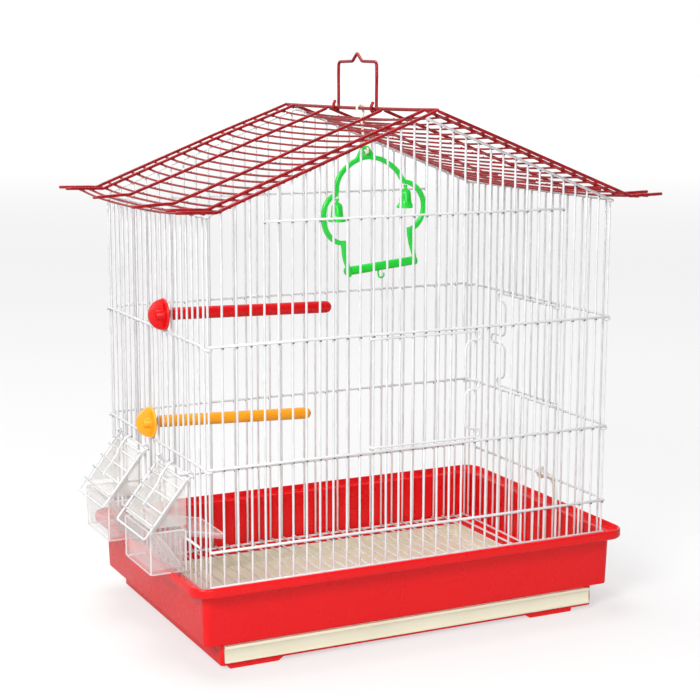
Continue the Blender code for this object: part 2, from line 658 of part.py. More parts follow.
half = [(35.2, -156.6, 3.4), (35.6, -140.0, 3.8), (35.3, -127.5, 4.6)]
for k in range(11):
    a = math.radians(-80 + 158.0 * k / 10)
    half.append((33.0 + 20.1 * math.cos(a), -100.0 + 23.4 * math.sin(a), 4.4))
for k in range(1, 8):
    a = math.radians(4 + 86.0 * k / 7)
    half.append((34.8 * math.cos(a) ** 1.15 if k < 7 else 0.0, -77.5 + 30.0 * math.sin(a), 4.4))
line = [(lean(v) + u, v, w) for u, v, w in half] + [(lean(v) - u, v, w) for u, v, w in reversed(half[:-1])]
frame = add_mesh("swing_frame", shell(flat_strip(line)), GREEN)
ear = shell([[sw(u, v, y) for u, v in ((-12.0, -49.4), (-3.6, -37.2), (3.4, -37.2), (9.5, -49.4))]
             for y in (-1.9, 1.9)])
combine(frame, add_mesh("ear", ear, GREEN), "UNION")
eye = shell([[sw(2.6 * math.cos(math.pi * k / 6), EYE_V + 2.9 * math.sin(math.pi * k / 6), y) for k in range(12)]
             for y in (-6.0, 6.0)])
combine(frame, add_mesh("eye", eye, GREEN), "DIFFERENCE")
finish(frame, GREEN)

swing_bar = tube("swing_perch", [sw(-32.6, -150.4), sw(33.7, -153.2)], 4.1, GREEN, 5)
curl = [sw(-1.4, -154.0), sw(-2.0, -158.0)]
for k in range(7):
    a = math.radians(190 + 200.0 * k / 6)
    curl.append(sw(1.0 + 3.0 * math.cos(a), -160.0 + 3.0 * math.sin(a)))
combine(swing_bar, tube("curl", curl, 0.8, GREEN, 1), "UNION")
finish(swing_bar, GREEN, 50)

swing = pivot_empty("swing_pivot", SWING_PIVOT)
for part in (frame, swing_bar):
    hang_from(part, SWING_PIVOT)
    carry(part, swing)
for tag, x, z_top in (("left", -23.7, 286.3), ("right", 48.6, 296.8)):
    profile = [(-21.8, 7.8), (-20.6, 8.4), (-19.2, 7.2), (-17.6, 6.0), (-7.0, 5.2), (-4.9, 3.6), (-4.2, 2.0), (-2.8, 1.5),
               (-1.8, 2.2), (0.0, 1.7)]
    rings = []
    for h, r in profile:
        rings.append([(x + r * math.cos(2 * math.pi * k / 14), SWING_Y + r * math.sin(2 * math.pi * k / 14), z_top + h + Z0)
                      for k in range(14)])
    bell = add_mesh("swing_bell_" + tag, shell(rings), GREEN, 50)
    hang_from(bell, (x, SWING_Y, z_top + Z0))
    carry(bell, swing)

# ------------------------------------------------------------------ base clip
CLIP_Y, CLIP_Z = -12.6, -0.8
clip = add_mesh("base_clip", turned([(204.8, 4.8), (205.2, 5.3), (209.8, 5.3), (210.4, 4.7)],
                                    (0, CLIP_Y, CLIP_Z + Z0), "x", 16), IVORY)
arm = [(0.0, 3.0), (-18.0, 1.6), (-25.4, -5.0), (-26.6, -28.6), (-21.8, -28.6), (-20.8, -7.0), (-16.0, -2.6), (0.0, -2.8)]
arm = [(y + CLIP_Y, z + CLIP_Z) for y, z in arm]
combine(clip, add_mesh("arm", prism([(y, z + Z0) for y, z in arm], "x", 205.4, 209.0), IVORY), "UNION")
finish(clip, IVORY, 40)
hang_from(clip, (207.0, CLIP_Y, CLIP_Z + Z0))

bpy.context.view_layer.update()
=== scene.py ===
"""Looks for the hanging bird cage: round coated wire, moulded base, clear cups.

Lengths below are millimetres measured from the middle of the cage; heights run
from the lowest full rail, BASE above the standing surface. Nothing is read from
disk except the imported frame.
"""
import math

import bmesh
import bpy
from mathutils import Matrix, Vector


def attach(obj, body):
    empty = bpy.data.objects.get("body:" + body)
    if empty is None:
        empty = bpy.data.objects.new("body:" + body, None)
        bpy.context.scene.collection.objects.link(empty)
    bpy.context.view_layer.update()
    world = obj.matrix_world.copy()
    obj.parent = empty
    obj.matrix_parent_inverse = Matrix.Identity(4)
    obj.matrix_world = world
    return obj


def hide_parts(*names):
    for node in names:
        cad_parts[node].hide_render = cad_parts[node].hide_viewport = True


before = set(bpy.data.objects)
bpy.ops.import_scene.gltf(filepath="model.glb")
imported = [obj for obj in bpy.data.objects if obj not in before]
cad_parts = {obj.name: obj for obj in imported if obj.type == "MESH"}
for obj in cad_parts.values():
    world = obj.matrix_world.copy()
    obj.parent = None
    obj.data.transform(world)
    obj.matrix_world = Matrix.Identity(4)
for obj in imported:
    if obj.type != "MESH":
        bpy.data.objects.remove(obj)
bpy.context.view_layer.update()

MM = 0.001
BASE = 107.1
scene = bpy.context.scene


# ------------------------------------------------------------------ materials
def new_material(name):
    mat = bpy.data.materials.new(name)
    mat.use_nodes = True
    nodes, links = mat.node_tree.nodes, mat.node_tree.links
    return mat, nodes, links, nodes["Principled BSDF"]


def ramp_between(nodes, links, source, low, high, lo=0.25, hi=0.75):
    ramp = nodes.new("ShaderNodeValToRGB")
    ramp.color_ramp.elements[0].position = lo
    ramp.color_ramp.elements[1].position = hi
    ramp.color_ramp.elements[0].color = (*low, 1.0)
    ramp.color_ramp.elements[1].color = (*high, 1.0)
    links.new(source, ramp.inputs["Fac"])
    return ramp.outputs["Color"]


def noise(nodes, links, coord, scale, detail=3.0, rough=0.55):
    n = nodes.new("ShaderNodeTexNoise")
    n.inputs["Scale"].default_value = scale
    n.inputs["Detail"].default_value = detail
    n.inputs["Roughness"].default_value = rough
    links.new(coord, n.inputs["Vector"])
    return n.outputs["Fac"]


def mapped(nodes, links, source, lo, hi):
    m = nodes.new("ShaderNodeMapRange")
    m.inputs["To Min"].default_value = lo
    m.inputs["To Max"].default_value = hi
    links.new(source, m.inputs["Value"])
    return m.outputs["Result"]


def coated(name, low, high, rough, bump=0.02, grain=1400.0, cloud=35.0, coat=0.25, coat_rough=0.15, spec=0.5,
           wear=None, bump_mm=0.05):
    """Paint or moulded plastic: cloudy colour, fine grain, uneven gloss, and a
    lighter or darker tone where edges are rubbed."""
    mat, nodes, links, bsdf = new_material(name)
    tex = nodes.new("ShaderNodeTexCoord")
    coord = tex.outputs["Object"]
    colour = ramp_between(nodes, links, noise(nodes, links, coord, cloud), low, high)
    if wear:
        geo = nodes.new("ShaderNodeNewGeometry")
        edge = nodes.new("ShaderNodeMapRange")
        edge.inputs["From Min"].default_value = 0.52
        edge.inputs["From Max"].default_value = 0.62
        edge.inputs["To Max"].default_value = 0.55
        links.new(geo.outputs["Pointiness"], edge.inputs["Value"])
        mix = nodes.new("ShaderNodeMix")
        mix.data_type = "RGBA"
        links.new(edge.outputs["Result"], mix.inputs["Factor"])
        links.new(colour, mix.inputs["A"])
        mix.inputs["B"].default_value = (*wear, 1.0)
        colour = mix.outputs["Result"]
    links.new(colour, bsdf.inputs["Base Color"])
    links.new(mapped(nodes, links, noise(nodes, links, coord, cloud * 3.1), rough * 0.8, rough * 1.25),
              bsdf.inputs["Roughness"])
    bump_node = nodes.new("ShaderNodeBump")
    bump_node.inputs["Strength"].default_value = bump
    bump_node.inputs["Distance"].default_value = bump_mm * MM
    links.new(noise(nodes, links, coord, grain, 2.0), bump_node.inputs["Height"])
    links.new(bump_node.outputs["Normal"], bsdf.inputs["Normal"])
    bsdf.inputs["Coat Weight"].default_value = coat
    bsdf.inputs["Coat Roughness"].default_value = coat_rough
    bsdf.inputs["Specular IOR Level"].default_value = spec
    return mat


def clear_plastic(name, low, high, rough, alpha):
    """Thin clear moulding: a faint milky sheet with an uneven gloss."""
    mat, nodes, links, bsdf = new_material(name)
    tex = nodes.new("ShaderNodeTexCoord")
    coord = tex.outputs["Object"]
    links.new(ramp_between(nodes, links, noise(nodes, links, coord, 40.0), low, high), bsdf.inputs["Base Color"])
    links.new(mapped(nodes, links, noise(nodes, links, coord, 60.0), rough * 0.6, rough * 1.6), bsdf.inputs["Roughness"])
    bump_node = nodes.new("ShaderNodeBump")
    bump_node.inputs["Strength"].default_value = 0.15
    bump_node.inputs["Distance"].default_value = 0.25 * MM
    links.new(noise(nodes, links, coord, 90.0, 2.0), bump_node.inputs["Height"])
    links.new(bump_node.outputs["Normal"], bsdf.inputs["Normal"])
    bsdf.inputs["Alpha"].default_value = alpha
    bsdf.inputs["IOR"].default_value = 1.46
    return mat


WIRE = coated("wire_white", (0.66, 0.67, 0.69), (0.80, 0.81, 0.83), 0.30, 0.25, 900.0, 60.0, 0.3, 0.12)
# near-black weld metal, darkened so the beads also act as painted shadow dots under the rails
WELD_AND_SHADOW_DOT = coated("wire_weld_painted_shadow", (0.04, 0.04, 0.04), (0.17, 0.16, 0.155), 0.55, 0.6, 1500.0, 400.0, 0.0)
ROOF = coated("roof_coating", (0.12, 0.0006, 0.002), (0.40, 0.004, 0.009), 0.26, 0.3, 800.0, 230.0, 0.0, 0.12,
              spec=0.3, wear=(0.50, 0.02, 0.03))
RED = coated("base_red", (0.755, 0.004, 0.007), (0.805, 0.006, 0.009), 0.27, 0.22, 1700.0, 9.0, 0.0, 0.2,
             spec=0.34, wear=(0.84, 0.02, 0.02))
CREAM = coated("tray_cream", (0.77, 0.73, 0.56), (0.83, 0.79, 0.63), 0.40, 0.2, 1500.0, 14.0, 0.1, 0.25, spec=0.35)
IVORY = coated("clip_ivory", (0.84, 0.80, 0.66), (0.90, 0.87, 0.76), 0.40, 0.2, 1500.0, 60.0, 0.1, 0.25, spec=0.35)
GREEN = coated("swing_green", (0.004, 0.56, 0.030), (0.010, 0.70, 0.046), 0.30, 0.2, 1300.0, 45.0, 0.2, 0.15,
               spec=0.35, wear=(0.06, 0.80, 0.11))
P_RED = coated("perch_red", (0.58, 0.002, 0.004), (0.70, 0.004, 0.007), 0.26, 0.3, 900.0, 40.0, 0.05, 0.15,
               spec=0.3, wear=(0.76, 0.03, 0.02))
P_YELLOW = coated("perch_yellow", (0.88, 0.31, 0.006), (0.95, 0.40, 0.010), 0.30, 0.3, 900.0, 40.0, 0.25, 0.15,
                  spec=0.35, wear=(0.98, 0.56, 0.06))
CLEAR = clear_plastic("cup_clear", (0.86, 0.83, 0.82), (0.93, 0.91, 0.90), 0.10, 0.21)
CLEAR_TOP = clear_plastic("hood_clear", (0.74, 0.72, 0.69), (0.84, 0.82, 0.79), 0.12, 0.34)
# whiter, less clear plastic: a painted edge-on reflection on rims and ends; also used for the seed divider
CLEAR_GLINT_AND_DIVIDER = clear_plastic("cup_clear_glint_and_divider", (0.90, 0.89, 0.88), (0.96, 0.95, 0.95), 0.25, 0.46)


# ---------------------------------------------------------------- mesh making
class Stock:
    """Collects tubes and skins, then becomes one object."""

    def __init__(self):
        self.verts, self.faces, self.mats = [], [], []

    def _add(self, verts, faces, mat):
        base = len(self.verts)
        self.verts += [tuple(v) for v in verts]
        self.faces += [tuple(base + i for i in f) for f in faces]
        self.mats += [mat] * len(faces)

    def tube(self, path, radius, sides=10, mat=0, closed=False, squash=None):
        """Round wire through the points, with domed ends. squash flattens it
        along a direction (vector, factor)."""
        pts = [Vector(p) for p in path]
        n = len(pts)
        radii = [radius] * n
        if not closed:
            a, b = (pts[1] - pts[0]).normalized(), (pts[-1] - pts[-2]).normalized()
            k = min(radius * 0.45, (pts[1] - pts[0]).length * 0.4, (pts[-1] - pts[-2]).length * 0.4)
            pts = [pts[0], pts[0] + a * k] + pts[1:-1] + [pts[-1] - b * k, pts[-1]]
            radii = [radius * 0.62, radius] + [radius] * (n - 2) + [radius, radius * 0.62]
            n += 2
        tangents = []
        for i in range(n):
            prev = pts[i - 1] if (i > 0 or closed) else pts[i]
            nxt = pts[(i + 1) % n] if (i < n - 1 or closed) else pts[i]
            d1, d2 = (pts[i] - prev), (nxt - pts[i])
            d = (d1.normalized() if d1.length else Vector()) + (d2.normalized() if d2.length else Vector())
            tangents.append(d.normalized())
        t0 = tangents[0]
        ref = Vector((0, 0, 1)) if abs(t0.z) < 0.8 else Vector((0, 1, 0))
        normal = (ref - t0 * ref.dot(t0)).normalized()
        verts, faces = [], []
        for i in range(n):
            t = tangents[i]
            normal = (normal - t * normal.dot(t)).normalized()
            side = t.cross(normal)
            if 0 < i < n - 1 or closed:
                seg = (pts[i] - pts[i - 1]).normalized()
                stretch = 1.0 / max(0.5, abs(seg.dot(t)))
            else:
                stretch = 1.0
            for k in range(sides):
                a = 2 * math.pi * (k + 0.5) / sides
                off = (normal * math.cos(a) + side * math.sin(a)) * radii[i] * (1 + (stretch - 1) * 0.5)
                if squash:
                    off -= squash[0] * off.dot(squash[0]) * (1 - squash[1])
                verts.append(pts[i] + off)
        for i in range(n if closed else n - 1):
            for k in range(sides):
                m = (k + 1) % sides
                faces.append((i * sides + k, i * sides + m, ((i + 1) % n) * sides + m, ((i + 1) % n) * sides + k))
        if not closed:
            faces.append(tuple(reversed(range(sides))))
            faces.append(tuple((n - 1) * sides + k for k in range(sides)))
        self._add(verts, faces, mat)

    def bead(self, centre, radius, mat=1, axis=(0, 0, 1), flat=0.7):
        """Small nugget of weld metal; in the dark weld material it is also a painted shadow dot under a rail."""
        c = Vector(centre)
        axis = Vector(axis).normalized()
        ref = Vector((1, 0, 0)) if abs(axis.x) < 0.8 else Vector((0, 1, 0))
        u = (ref - axis * ref.dot(axis)).normalized()
        v = axis.cross(u)
        rows = ((-0.95, 0.3), (-0.4, 0.92), (0.4, 0.92), (0.95, 0.3))
        verts, faces = [], []
        for h, r in rows:
            for k in range(6):
                a = math.pi * k / 3
                verts.append(c + axis * h * radius * flat + (u * math.cos(a) + v * math.sin(a)) * r * radius)
        for i in range(3):
            for k in range(6):
                m = (k + 1) % 6
                faces.append((i * 6 + k, i * 6 + m, i * 6 + 6 + m, i * 6 + 6 + k))
        faces.append((5, 4, 3, 2, 1, 0))
        faces.append(tuple(18 + k for k in range(6)))
        self._add(verts, faces, mat)

    def loft(self, rings, mat=0, caps=True, closed=False):
        n = len(rings[0])
        verts = [p for ring in rings for p in ring]
        faces = []
        count = len(rings)
        for i in range(count if closed else count - 1):
            j = (i + 1) % count
            for k in range(n):
                m = (k + 1) % n
                faces.append((i * n + k, i * n + m, j * n + m, j * n + k))
        if caps and not closed:
            faces.append(tuple(reversed(range(n))))
            faces.append(tuple((count - 1) * n + k for k in range(n)))
        self._add(verts, faces, mat)

    def build(self, name, mats, angle=40.0, warp=None):
        mesh = bpy.data.meshes.new(name)
        pts = [warp(*v) for v in self.verts] if warp else self.verts
        mesh.from_pydata([(x * MM, y * MM, (z + BASE) * MM) for x, y, z in pts], [], self.faces)
        for m in mats:
            mesh.materials.append(m)
        mesh.polygons.foreach_set("material_index", self.mats)
        mesh.update()
        bm = bmesh.new()
        bm.from_mesh(mesh)
        bmesh.ops.recalc_face_normals(bm, faces=bm.faces)
        bm.to_mesh(mesh)
        bm.free()
        mesh.shade_smooth()
        mesh.set_sharp_from_angle(angle=math.radians(angle))
        ob = bpy.data.objects.new(name, mesh)
        scene.collection.objects.link(ob)
        return ob


def rounded(points, radius, seg=5):
    """Polyline with its corners turned into arcs; radius may be one per corner."""
    pts = [Vector(p) for p in points]
    out = [pts[0]]
    for i in range(1, len(pts) - 1):
        r = radius[i - 1] if isinstance(radius, (list, tuple)) else radius
        a, b = pts[i - 1] - pts[i], pts[i + 1] - pts[i]
        la, lb = a.length, b.length
        a, b = a.normalized(), b.normalized()
        dot = max(-1.0, min(1.0, a.dot(b)))
        half = math.acos(dot) / 2
        if half > math.pi / 2 - 0.02 or r <= 0:
            out.append(pts[i])
            continue
        cut = min(r / math.tan(half), la * 0.49, lb * 0.49)
        rr = cut * math.tan(half)
        centre = pts[i] + (a + b).normalized() * (rr / math.sin(half))
        v0, v1 = pts[i] + a * cut - centre, pts[i] + b * cut - centre
        total = math.pi - 2 * half
        for s in range(seg + 1):
            f = s / seg
            w0 = math.sin((1 - f) * total) / math.sin(total)
            w1 = math.sin(f * total) / math.sin(total)
            out.append(centre + v0 * w0 + v1 * w1)
    out.append(pts[-1])
    return out


def arc(centre, radius, a0, a1, n, place):
    """Points on a circle; place turns (u, v) into a point."""
    pts = []
    for k in range(n + 1):
        a = math.radians(a0 + (a1 - a0) * k / n)
        pts.append(place(centre[0] + radius * math.cos(a), centre[1] + radius * math.sin(a)))
    return pts


def round_rect(hx, hy, r, z, seg=8, cx=0.0, cy=0.0):
    pts = []
    for px, py, a0 in ((hx - r, hy - r, 0), (r - hx, hy - r, 90), (r - hx, r - hy, 180), (hx - r, r - hy, 270)):
        for s in range(seg + 1):
            a = math.radians(a0 + 90.0 * s / seg)
            pts.append((cx + px + r * math.cos(a), cy + py + r * math.sin(a), z))
    return pts


def wobble(i, amount, seed=0.0):
    """Small repeatable departure from straight, different for every wire."""
    return amount * math.sin(i * 12.9898 + seed * 78.233) * math.cos(i * 4.1414 + seed * 3.7)


def slant(x0, x1, n):
    return [x0 + (x1 - x0) * k / n for k in range(n + 1)]


# --------------------------------------------------------------- measurements
PITCH = 400.0 / 31
FRONT_X = [-200.0 + PITCH * i for i in range(32)]
SIDE_Y = [12.9 * (j + 0.5) for j in range(-10, 10)]
WY, WX = 129.7, 200.9
RAIL_Y, RAIL_X = WY + 2.2, WX + 2.2
RAILS = (0.0, 72.4, 177.2)
FOOT = -80.2
CURB = -31.0
SLOPE = 0.393
GABLE = 365.2
FEEDERS = {"front": -51.6, "rear": 64.5}
HINGE_I, FREE_I = 12, 20
SIDE_HINGE_J, SIDE_FREE_J = 6, 15
AXIS_X, AXIS_Z = -202.9, 59.0
V = Vector


def gable_z(x):
    return GABLE - SLOPE * abs(x)


# ------------------------------------------------------ front and back panels
def gable_panel(name, side, with_door):
    """side is -1 for the front and 1 for the back."""
    s = Stock()
    y = side * WY
    ry = side * RAIL_Y
    for i, x in enumerate(FRONT_X):
        lean = wobble(i, 0.35, side)
        top = gable_z(x) + 0.6
        if with_door and HINGE_I < i < FREE_I:
            spans = [(FOOT, RAILS[1] + 1.2), (RAILS[2] - 1.2, top)]
        else:
            spans = [(FOOT, top)]
        for z0, z1 in spans:
            steps = max(2, int((z1 - z0) / 60))
            path = []
            for k in range(steps + 1):
                f = k / steps
                bow = math.sin(math.pi * f)
                path.append((x + lean * bow, y, z0 + (z1 - z0) * f))
            s.tube(path, 1.0, 8)
        # dark weld beads just under each rail at every upright: weld metal and a painted shadow dot
        for z in ((CURB,) if with_door else ()) + RAILS:
            s.bead((x, side * (WY + 2.0), z - 1.75), 0.95, 1, (0, 0, 1), 0.9)
        s.bead((x, side * (WY + 1.9), gable_z(x) - 1.75), 0.9)
    for z in RAILS:
        s.tube([(-201.6, ry, z), (-70, ry, z + 0.1), (60, ry, z - 0.1), (201.6, ry, z)], 1.25, 12)
    if with_door:
        s.tube([(-201.6, ry, CURB), (201.6, ry, CURB)], 1.2, 12)
    s.tube([(FRONT_X[4] - 0.6, ry, 280.2), (0, ry, 280.3), (FRONT_X[27] + 0.6, ry, 280.2)], 1.05, 12)
    # dark beads under the stiffener rail: weld metal and painted shadow dots
    for i in range(4, 28):
        s.bead((FRONT_X[i], side * (WY + 1.9), 278.6), 0.9)
    s.tube(rounded([(-201.6, ry, gable_z(201.6)), (0, ry, gable_z(0)), (201.6, ry, gable_z(201.6))], 6.0), 1.25, 12)
    return s.build(name, [WIRE, WELD_AND_SHADOW_DOT])


def corner_curl(s, sx, sy, z):
    """End of a side rail turned round the corner upright of the gabled panel."""
    place = lambda u, v: V((sx * u, sy * v, z))
    cx, cy, r = 200.0, WY, 2.5
    pts = []
    for k in range(9):
        a = math.radians(5 + 190.0 * k / 8)
        pts.append(V((sx * (cx + r * math.cos(a)), sy * (cy + r * math.sin(a)), z - 2.3)))
    return pts


def side_panel(name, sx, kind):
    s = Stock()
    x = sx * WX
    rx = sx * RAIL_X
    top = 287.0
    for j, y in enumerate(SIDE_Y):
        lean = wobble(j, 0.4, sx + 3)
        spans = [(FOOT, top)]
        if kind == "door" and SIDE_HINGE_J < j < SIDE_FREE_J:
            spans = [(FOOT, RAILS[1] + 1.2), (RAILS[2] - 1.2, top)]
        if kind == "feeders" and any(abs(y - c) < 26.0 for c in FEEDERS.values()):
            spans = [(FOOT, 1.1), (AXIS_Z - 0.9, top)]
        for z0, z1 in spans:
            steps = max(2, int((z1 - z0) / 60))
            s.tube([(x, y + lean * math.sin(math.pi * k / steps), z0 + (z1 - z0) * k / steps)
                    for k in range(steps + 1)], 1.0, 8)
        # dark beads just under the side rails: weld metal and painted shadow dots
        for z in RAILS + (286.2,):
            s.bead((sx * (WX + 1.0), y, z - 1.15), 0.75)
        if kind == "feeders" and any(abs(y - c) < 46.0 for c in FEEDERS.values()):
            s.bead((sx * (WX + 1.0), y, AXIS_Z - 1.0), 0.7)
    s.tube([(rx, -114.0, 0.0), (rx, 0.0, 0.1), (rx, 114.0, 0.0)], 1.2, 12)
    for z in RAILS[1:]:
        front_end = list(reversed(corner_curl(s, sx, -1, z)))
        rear_end = corner_curl(s, sx, 1, z)
        s.tube(front_end + [V((rx, -WY + 9.0, z - 0.2)), V((rx, -WY + 16.0, z)), V((rx, 0, z + 0.1)),
                            V((rx, WY - 16.0, z)), V((rx, WY - 9.0, z - 0.2))] + rear_end, 1.2, 12)
    z = 286.2
    s.tube(list(reversed(corner_curl(s, sx, -1, z + 1.8))) + [V((rx, -WY + 12.0, z)), V((rx, 0, z)),
           V((rx, WY - 12.0, z))] + corner_curl(s, sx, 1, z + 1.8), 1.2, 12)
    if kind == "feeders":
        for c in FEEDERS.values():
            s.tube([(AXIS_X, c - 46.0, AXIS_Z), (AXIS_X, c + 46.0, AXIS_Z)], 1.0, 10)
    return s.build(name, [WIRE, WELD_AND_SHADOW_DOT])


front_panel = gable_panel("front_panel_wire", -1, True)
back_panel = gable_panel("back_panel_wire", 1, False)
left_panel = side_panel("left_panel_wire", -1, "feeders")
right_panel = side_panel("right_panel_wire", 1, "door")
for ob, node in ((front_panel, "front_panel"), (back_panel, "back_panel"), (left_panel, "left_panel"),
                 (right_panel, "right_panel")):
    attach(ob, "cage")
    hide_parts(node)


# ------------------------------------------------------------------------ doors
def door(name, end, frame_u, reach, step, count, place):
    """u from the hinge wire, v outwards, w up; the same wires as the CAD door
    with their real bends. One long wire makes both rails, the hooked ends, the
    free upright and its latch loop."""
    s = Stock()
    P = lambda u, v, w: V(place(u, v, w))
    vr, r = 3.1, 1.0
    lo, hi = 76.1, 173.45
    mid, gap = 124.8, 4.3
    for k in range(1, count + 1):
        bow = wobble(k, 0.3, end)
        s.tube([P(step * k, 1.05, lo - 0.6), P(step * k + bow, 1.05, 125.0), P(step * k, 1.05, hi + 0.6)], 1.0, 8)
        # dark beads under the door rails: weld metal and painted shadow dots
        for w in (lo, hi):
            s.bead(P(step * k, 2.05, w - 0.9), 0.75)
    s.bead(P(end - 5.0, 2.2, hi - 9.0), 0.75)
    s.bead(P(end - 5.0, 2.2, lo + 6.9), 0.75)
    curl = [(3.0 * math.cos(a), 3.0 * math.sin(a)) for a in
            [math.radians(-70 - 200.0 * k / 8) for k in range(9)]]
    body = [P(4.0, vr, hi), P(end, vr, hi), P(end, vr, hi - 7.6), P(frame_u, vr, hi - 8.4), P(frame_u, vr, mid + gap),
            P(reach, vr, mid + gap), P(reach, vr, mid - gap), P(frame_u, vr, mid - gap), P(frame_u, vr, lo + 8.4),
            P(end, vr, lo + 7.6), P(end, vr, lo), P(4.0, vr, lo)]
    path = [P(u, v, hi) for u, v in curl]
    path += rounded(body, [3.7, 3.7, 7.5, 7.5, 4.2, 4.2, 7.5, 7.5, 3.7, 3.7], 7)
    path += [P(u, v, lo) for u, v in reversed(curl)]
    s.tube(path, r, 12)
    return s.build(name, [WIRE, WELD_AND_SHADOW_DOT])


HINGE_X = FRONT_X[HINGE_I]
front_door = door("front_door_wire", 8 * PITCH + 3.0, 91.4, 8 * PITCH + 2.4, PITCH, 6, lambda u, v, w: (HINGE_X + u, -WY - v, w))
HINGE_Y = SIDE_Y[SIDE_HINGE_J]
side_door = door("side_door_wire", 9 * 12.9 + 0.4, 102.2, 129.4, 12.15, 7, lambda u, v, w: (WX + v, HINGE_Y + u, w))
for ob, node in ((front_door, "front_door"), (side_door, "side_door")):
    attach(ob, node)
    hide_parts(node)

# ------------------------------------------------------------------------- roof
RIDGE = 371.0
ALPHA = math.atan(SLOPE)
KINK_X, TIP_X, TIP_Z = 202.0, 239.5, 292.5
KINK_Z = RIDGE - SLOPE * KINK_X
S_KINK = KINK_X / math.cos(ALPHA)
FLARE = math.atan2(TIP_Z - KINK_Z, TIP_X - KINK_X)
S_END = S_KINK + math.hypot(TIP_Z - KINK_Z, TIP_X - KINK_X)


def smooth(f):
    f = max(0.0, min(1.0, f))
    return f * f * (3 - 2 * f)


def between(x, keys):
    for (x0, v0), (x1, v1) in zip(keys, keys[1:]):
        if x <= x1:
            return v0 + (v1 - v0) * (x - x0) / (x1 - x0)
    return keys[-1][1]


def ridge_dz(y):
    """The ridge wire runs slightly downhill to the back and sags in the middle."""
    return -0.75 - 0.0079 * y - (1.0 - (y / 158.0) ** 2)


def sag(s, y):
    """Each slope hangs from the ridge, lower between its framed ends."""
    f = smooth(s / 90.0)
    drop = -(ridge_dz(y) * (1.0 - f) + (0.2 - 0.004 * y) * f)
    if y < -150.0:
        drop += 0.5
    if abs(y) < 136.0:
        rafter = between(s / S_KINK, ((0.0, 0.6), (0.45, 1.9), (0.85, 1.2), (1.0, 0.4), (1.18, 3.4)))
        drop += rafter / 0.82 * (1.0 - (y / 136.0) ** 2)
    return drop


def roof_point(sign, s, y, t):
    blend = smooth((s - S_KINK + 6.0) / 12.0)
    a = (s * math.cos(ALPHA) + t * math.sin(ALPHA), RIDGE - s * math.sin(ALPHA) + t * math.cos(ALPHA))
    d = s - S_KINK
    b = (KINK_X + d * math.cos(FLARE) - t * math.sin(FLARE), KINK_Z + d * math.sin(FLARE) + t * math.cos(FLARE))
    x, z = a[0] + (b[0] - a[0]) * blend, a[1] + (b[1] - a[1]) * blend
    return V((sign * x, y, z - sag(s, y)))


def purlin_point(sign, s, y):
    """Thin wires under the rafters: they bow between them and rise to end level
    with the outermost rafters."""
    over = max(0.0, abs(y) - 136.0) / 21.6
    slack = 0.2 + 2.0 * (1.0 - (y / 136.0) ** 4) if over == 0.0 else 0.2 * (1.0 - over)
    p = roof_point(sign, s, y, -2.35 + 1.1 * over)
    return p - V((0, 0, slack))


def roof_side(name, sign):
    s = Stock()
    for y in (-158.0, -136.0, -57.5, 57.5, 136.0, 158.0):
        stations = [1.4, 8.0] + slant(20.0, S_KINK - 8.0, 9) + slant(S_KINK - 6.0, S_KINK + 6.0, 6) + \
            slant(S_KINK + 9.0, S_END - (2.0 if y in (-158.0, -136.0, 57.5) else 0.0), 4)
        s.tube([roof_point(sign, v, y, 0.0) for v in stations], 1.45, 12)
    rows = [S_KINK / 17.0 * k for k in range(1, 17)] + [S_KINK - 3.5, S_KINK + 10.0, S_KINK + 20.0]
    for n, v in enumerate(rows):
        ys = [-157.6, -152.0, -147.0, -141.0] + slant(-136.0, 136.0, 16) + [141.0, 147.0, 152.0, 157.6]
        s.tube([purlin_point(sign, v + wobble(n, 0.25, sign), y) for y in ys], 1.02, 8)
        for y in (-136.0, -57.5, 57.5, 136.0):
            s.bead(purlin_point(sign, v, y) + V((0, 0, 0.7)), 1.05, 1, (0, 0, 1), 0.9)
    return s.build(name, [ROOF, ROOF])


roof_left = roof_side("roof_left_wire", -1)
roof_right = roof_side("roof_right_wire", 1)
s = Stock()
s.tube([(0, y, RIDGE + ridge_dz(y)) for y in slant(-159.5, 159.5, 14)], 1.65, 12)
for y in (-158.0, -136.0, -57.5, 57.5, 136.0, 158.0):
    s.bead((0, y, RIDGE + ridge_dz(y)), 2.1, 0, (0, 0, 1), 0.8)
ridge = s.build("roof_ridge_wire", [ROOF])

HOOK_R = 3.2


def bail_hook(y):
    """Wire end under the ridge: down on the right, up to a short tip on the left."""
    low = RIDGE + ridge_dz(y)
    pts = [V((HOOK_R, y, RIDGE + 12.0)), V((HOOK_R, y, RIDGE + 3.0))]
    for k in range(17):
        a = math.radians(90 + 180.0 * k / 16)
        pts.append(V((HOOK_R * math.sin(a), y - 0.14 * k, low + HOOK_R * math.cos(a))))
    pts.append(V((-HOOK_R, y - 2.4, RIDGE + 1.3)))
    pts.append(V((-1.6, y - 2.8, RIDGE + 4.9)))
    return pts


s = Stock()
rear, front, top = 41.2, -38.3, RIDGE + 40.8
crown = rounded([(HOOK_R, rear, RIDGE + 14.0), (HOOK_R, rear + 0.3, RIDGE + 26.0), (HOOK_R, rear, top), (HOOK_R, 11.4, top + 0.5),
                 (HOOK_R, 1.5, top + 8.0), (HOOK_R, -8.4, top + 0.5), (HOOK_R, front, top),
                 (HOOK_R, front - 0.3, RIDGE + 26.0), (HOOK_R, front, RIDGE + 14.0)],
                [20.0, 4.2, 5.0, 2.2, 5.0, 4.2, 20.0], 7)
s.tube(list(reversed(bail_hook(rear))) + crown + bail_hook(front), 1.45, 12)
bail = s.build("bail_wire", [ROOF])
for ob, node, body in ((roof_left, "roof_left", "cage"), (roof_right, "roof_right", "cage"),
                       (ridge, "roof_ridge", "cage"), (bail, "bail_handle", "bail")):
    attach(ob, body)
    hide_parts(node)


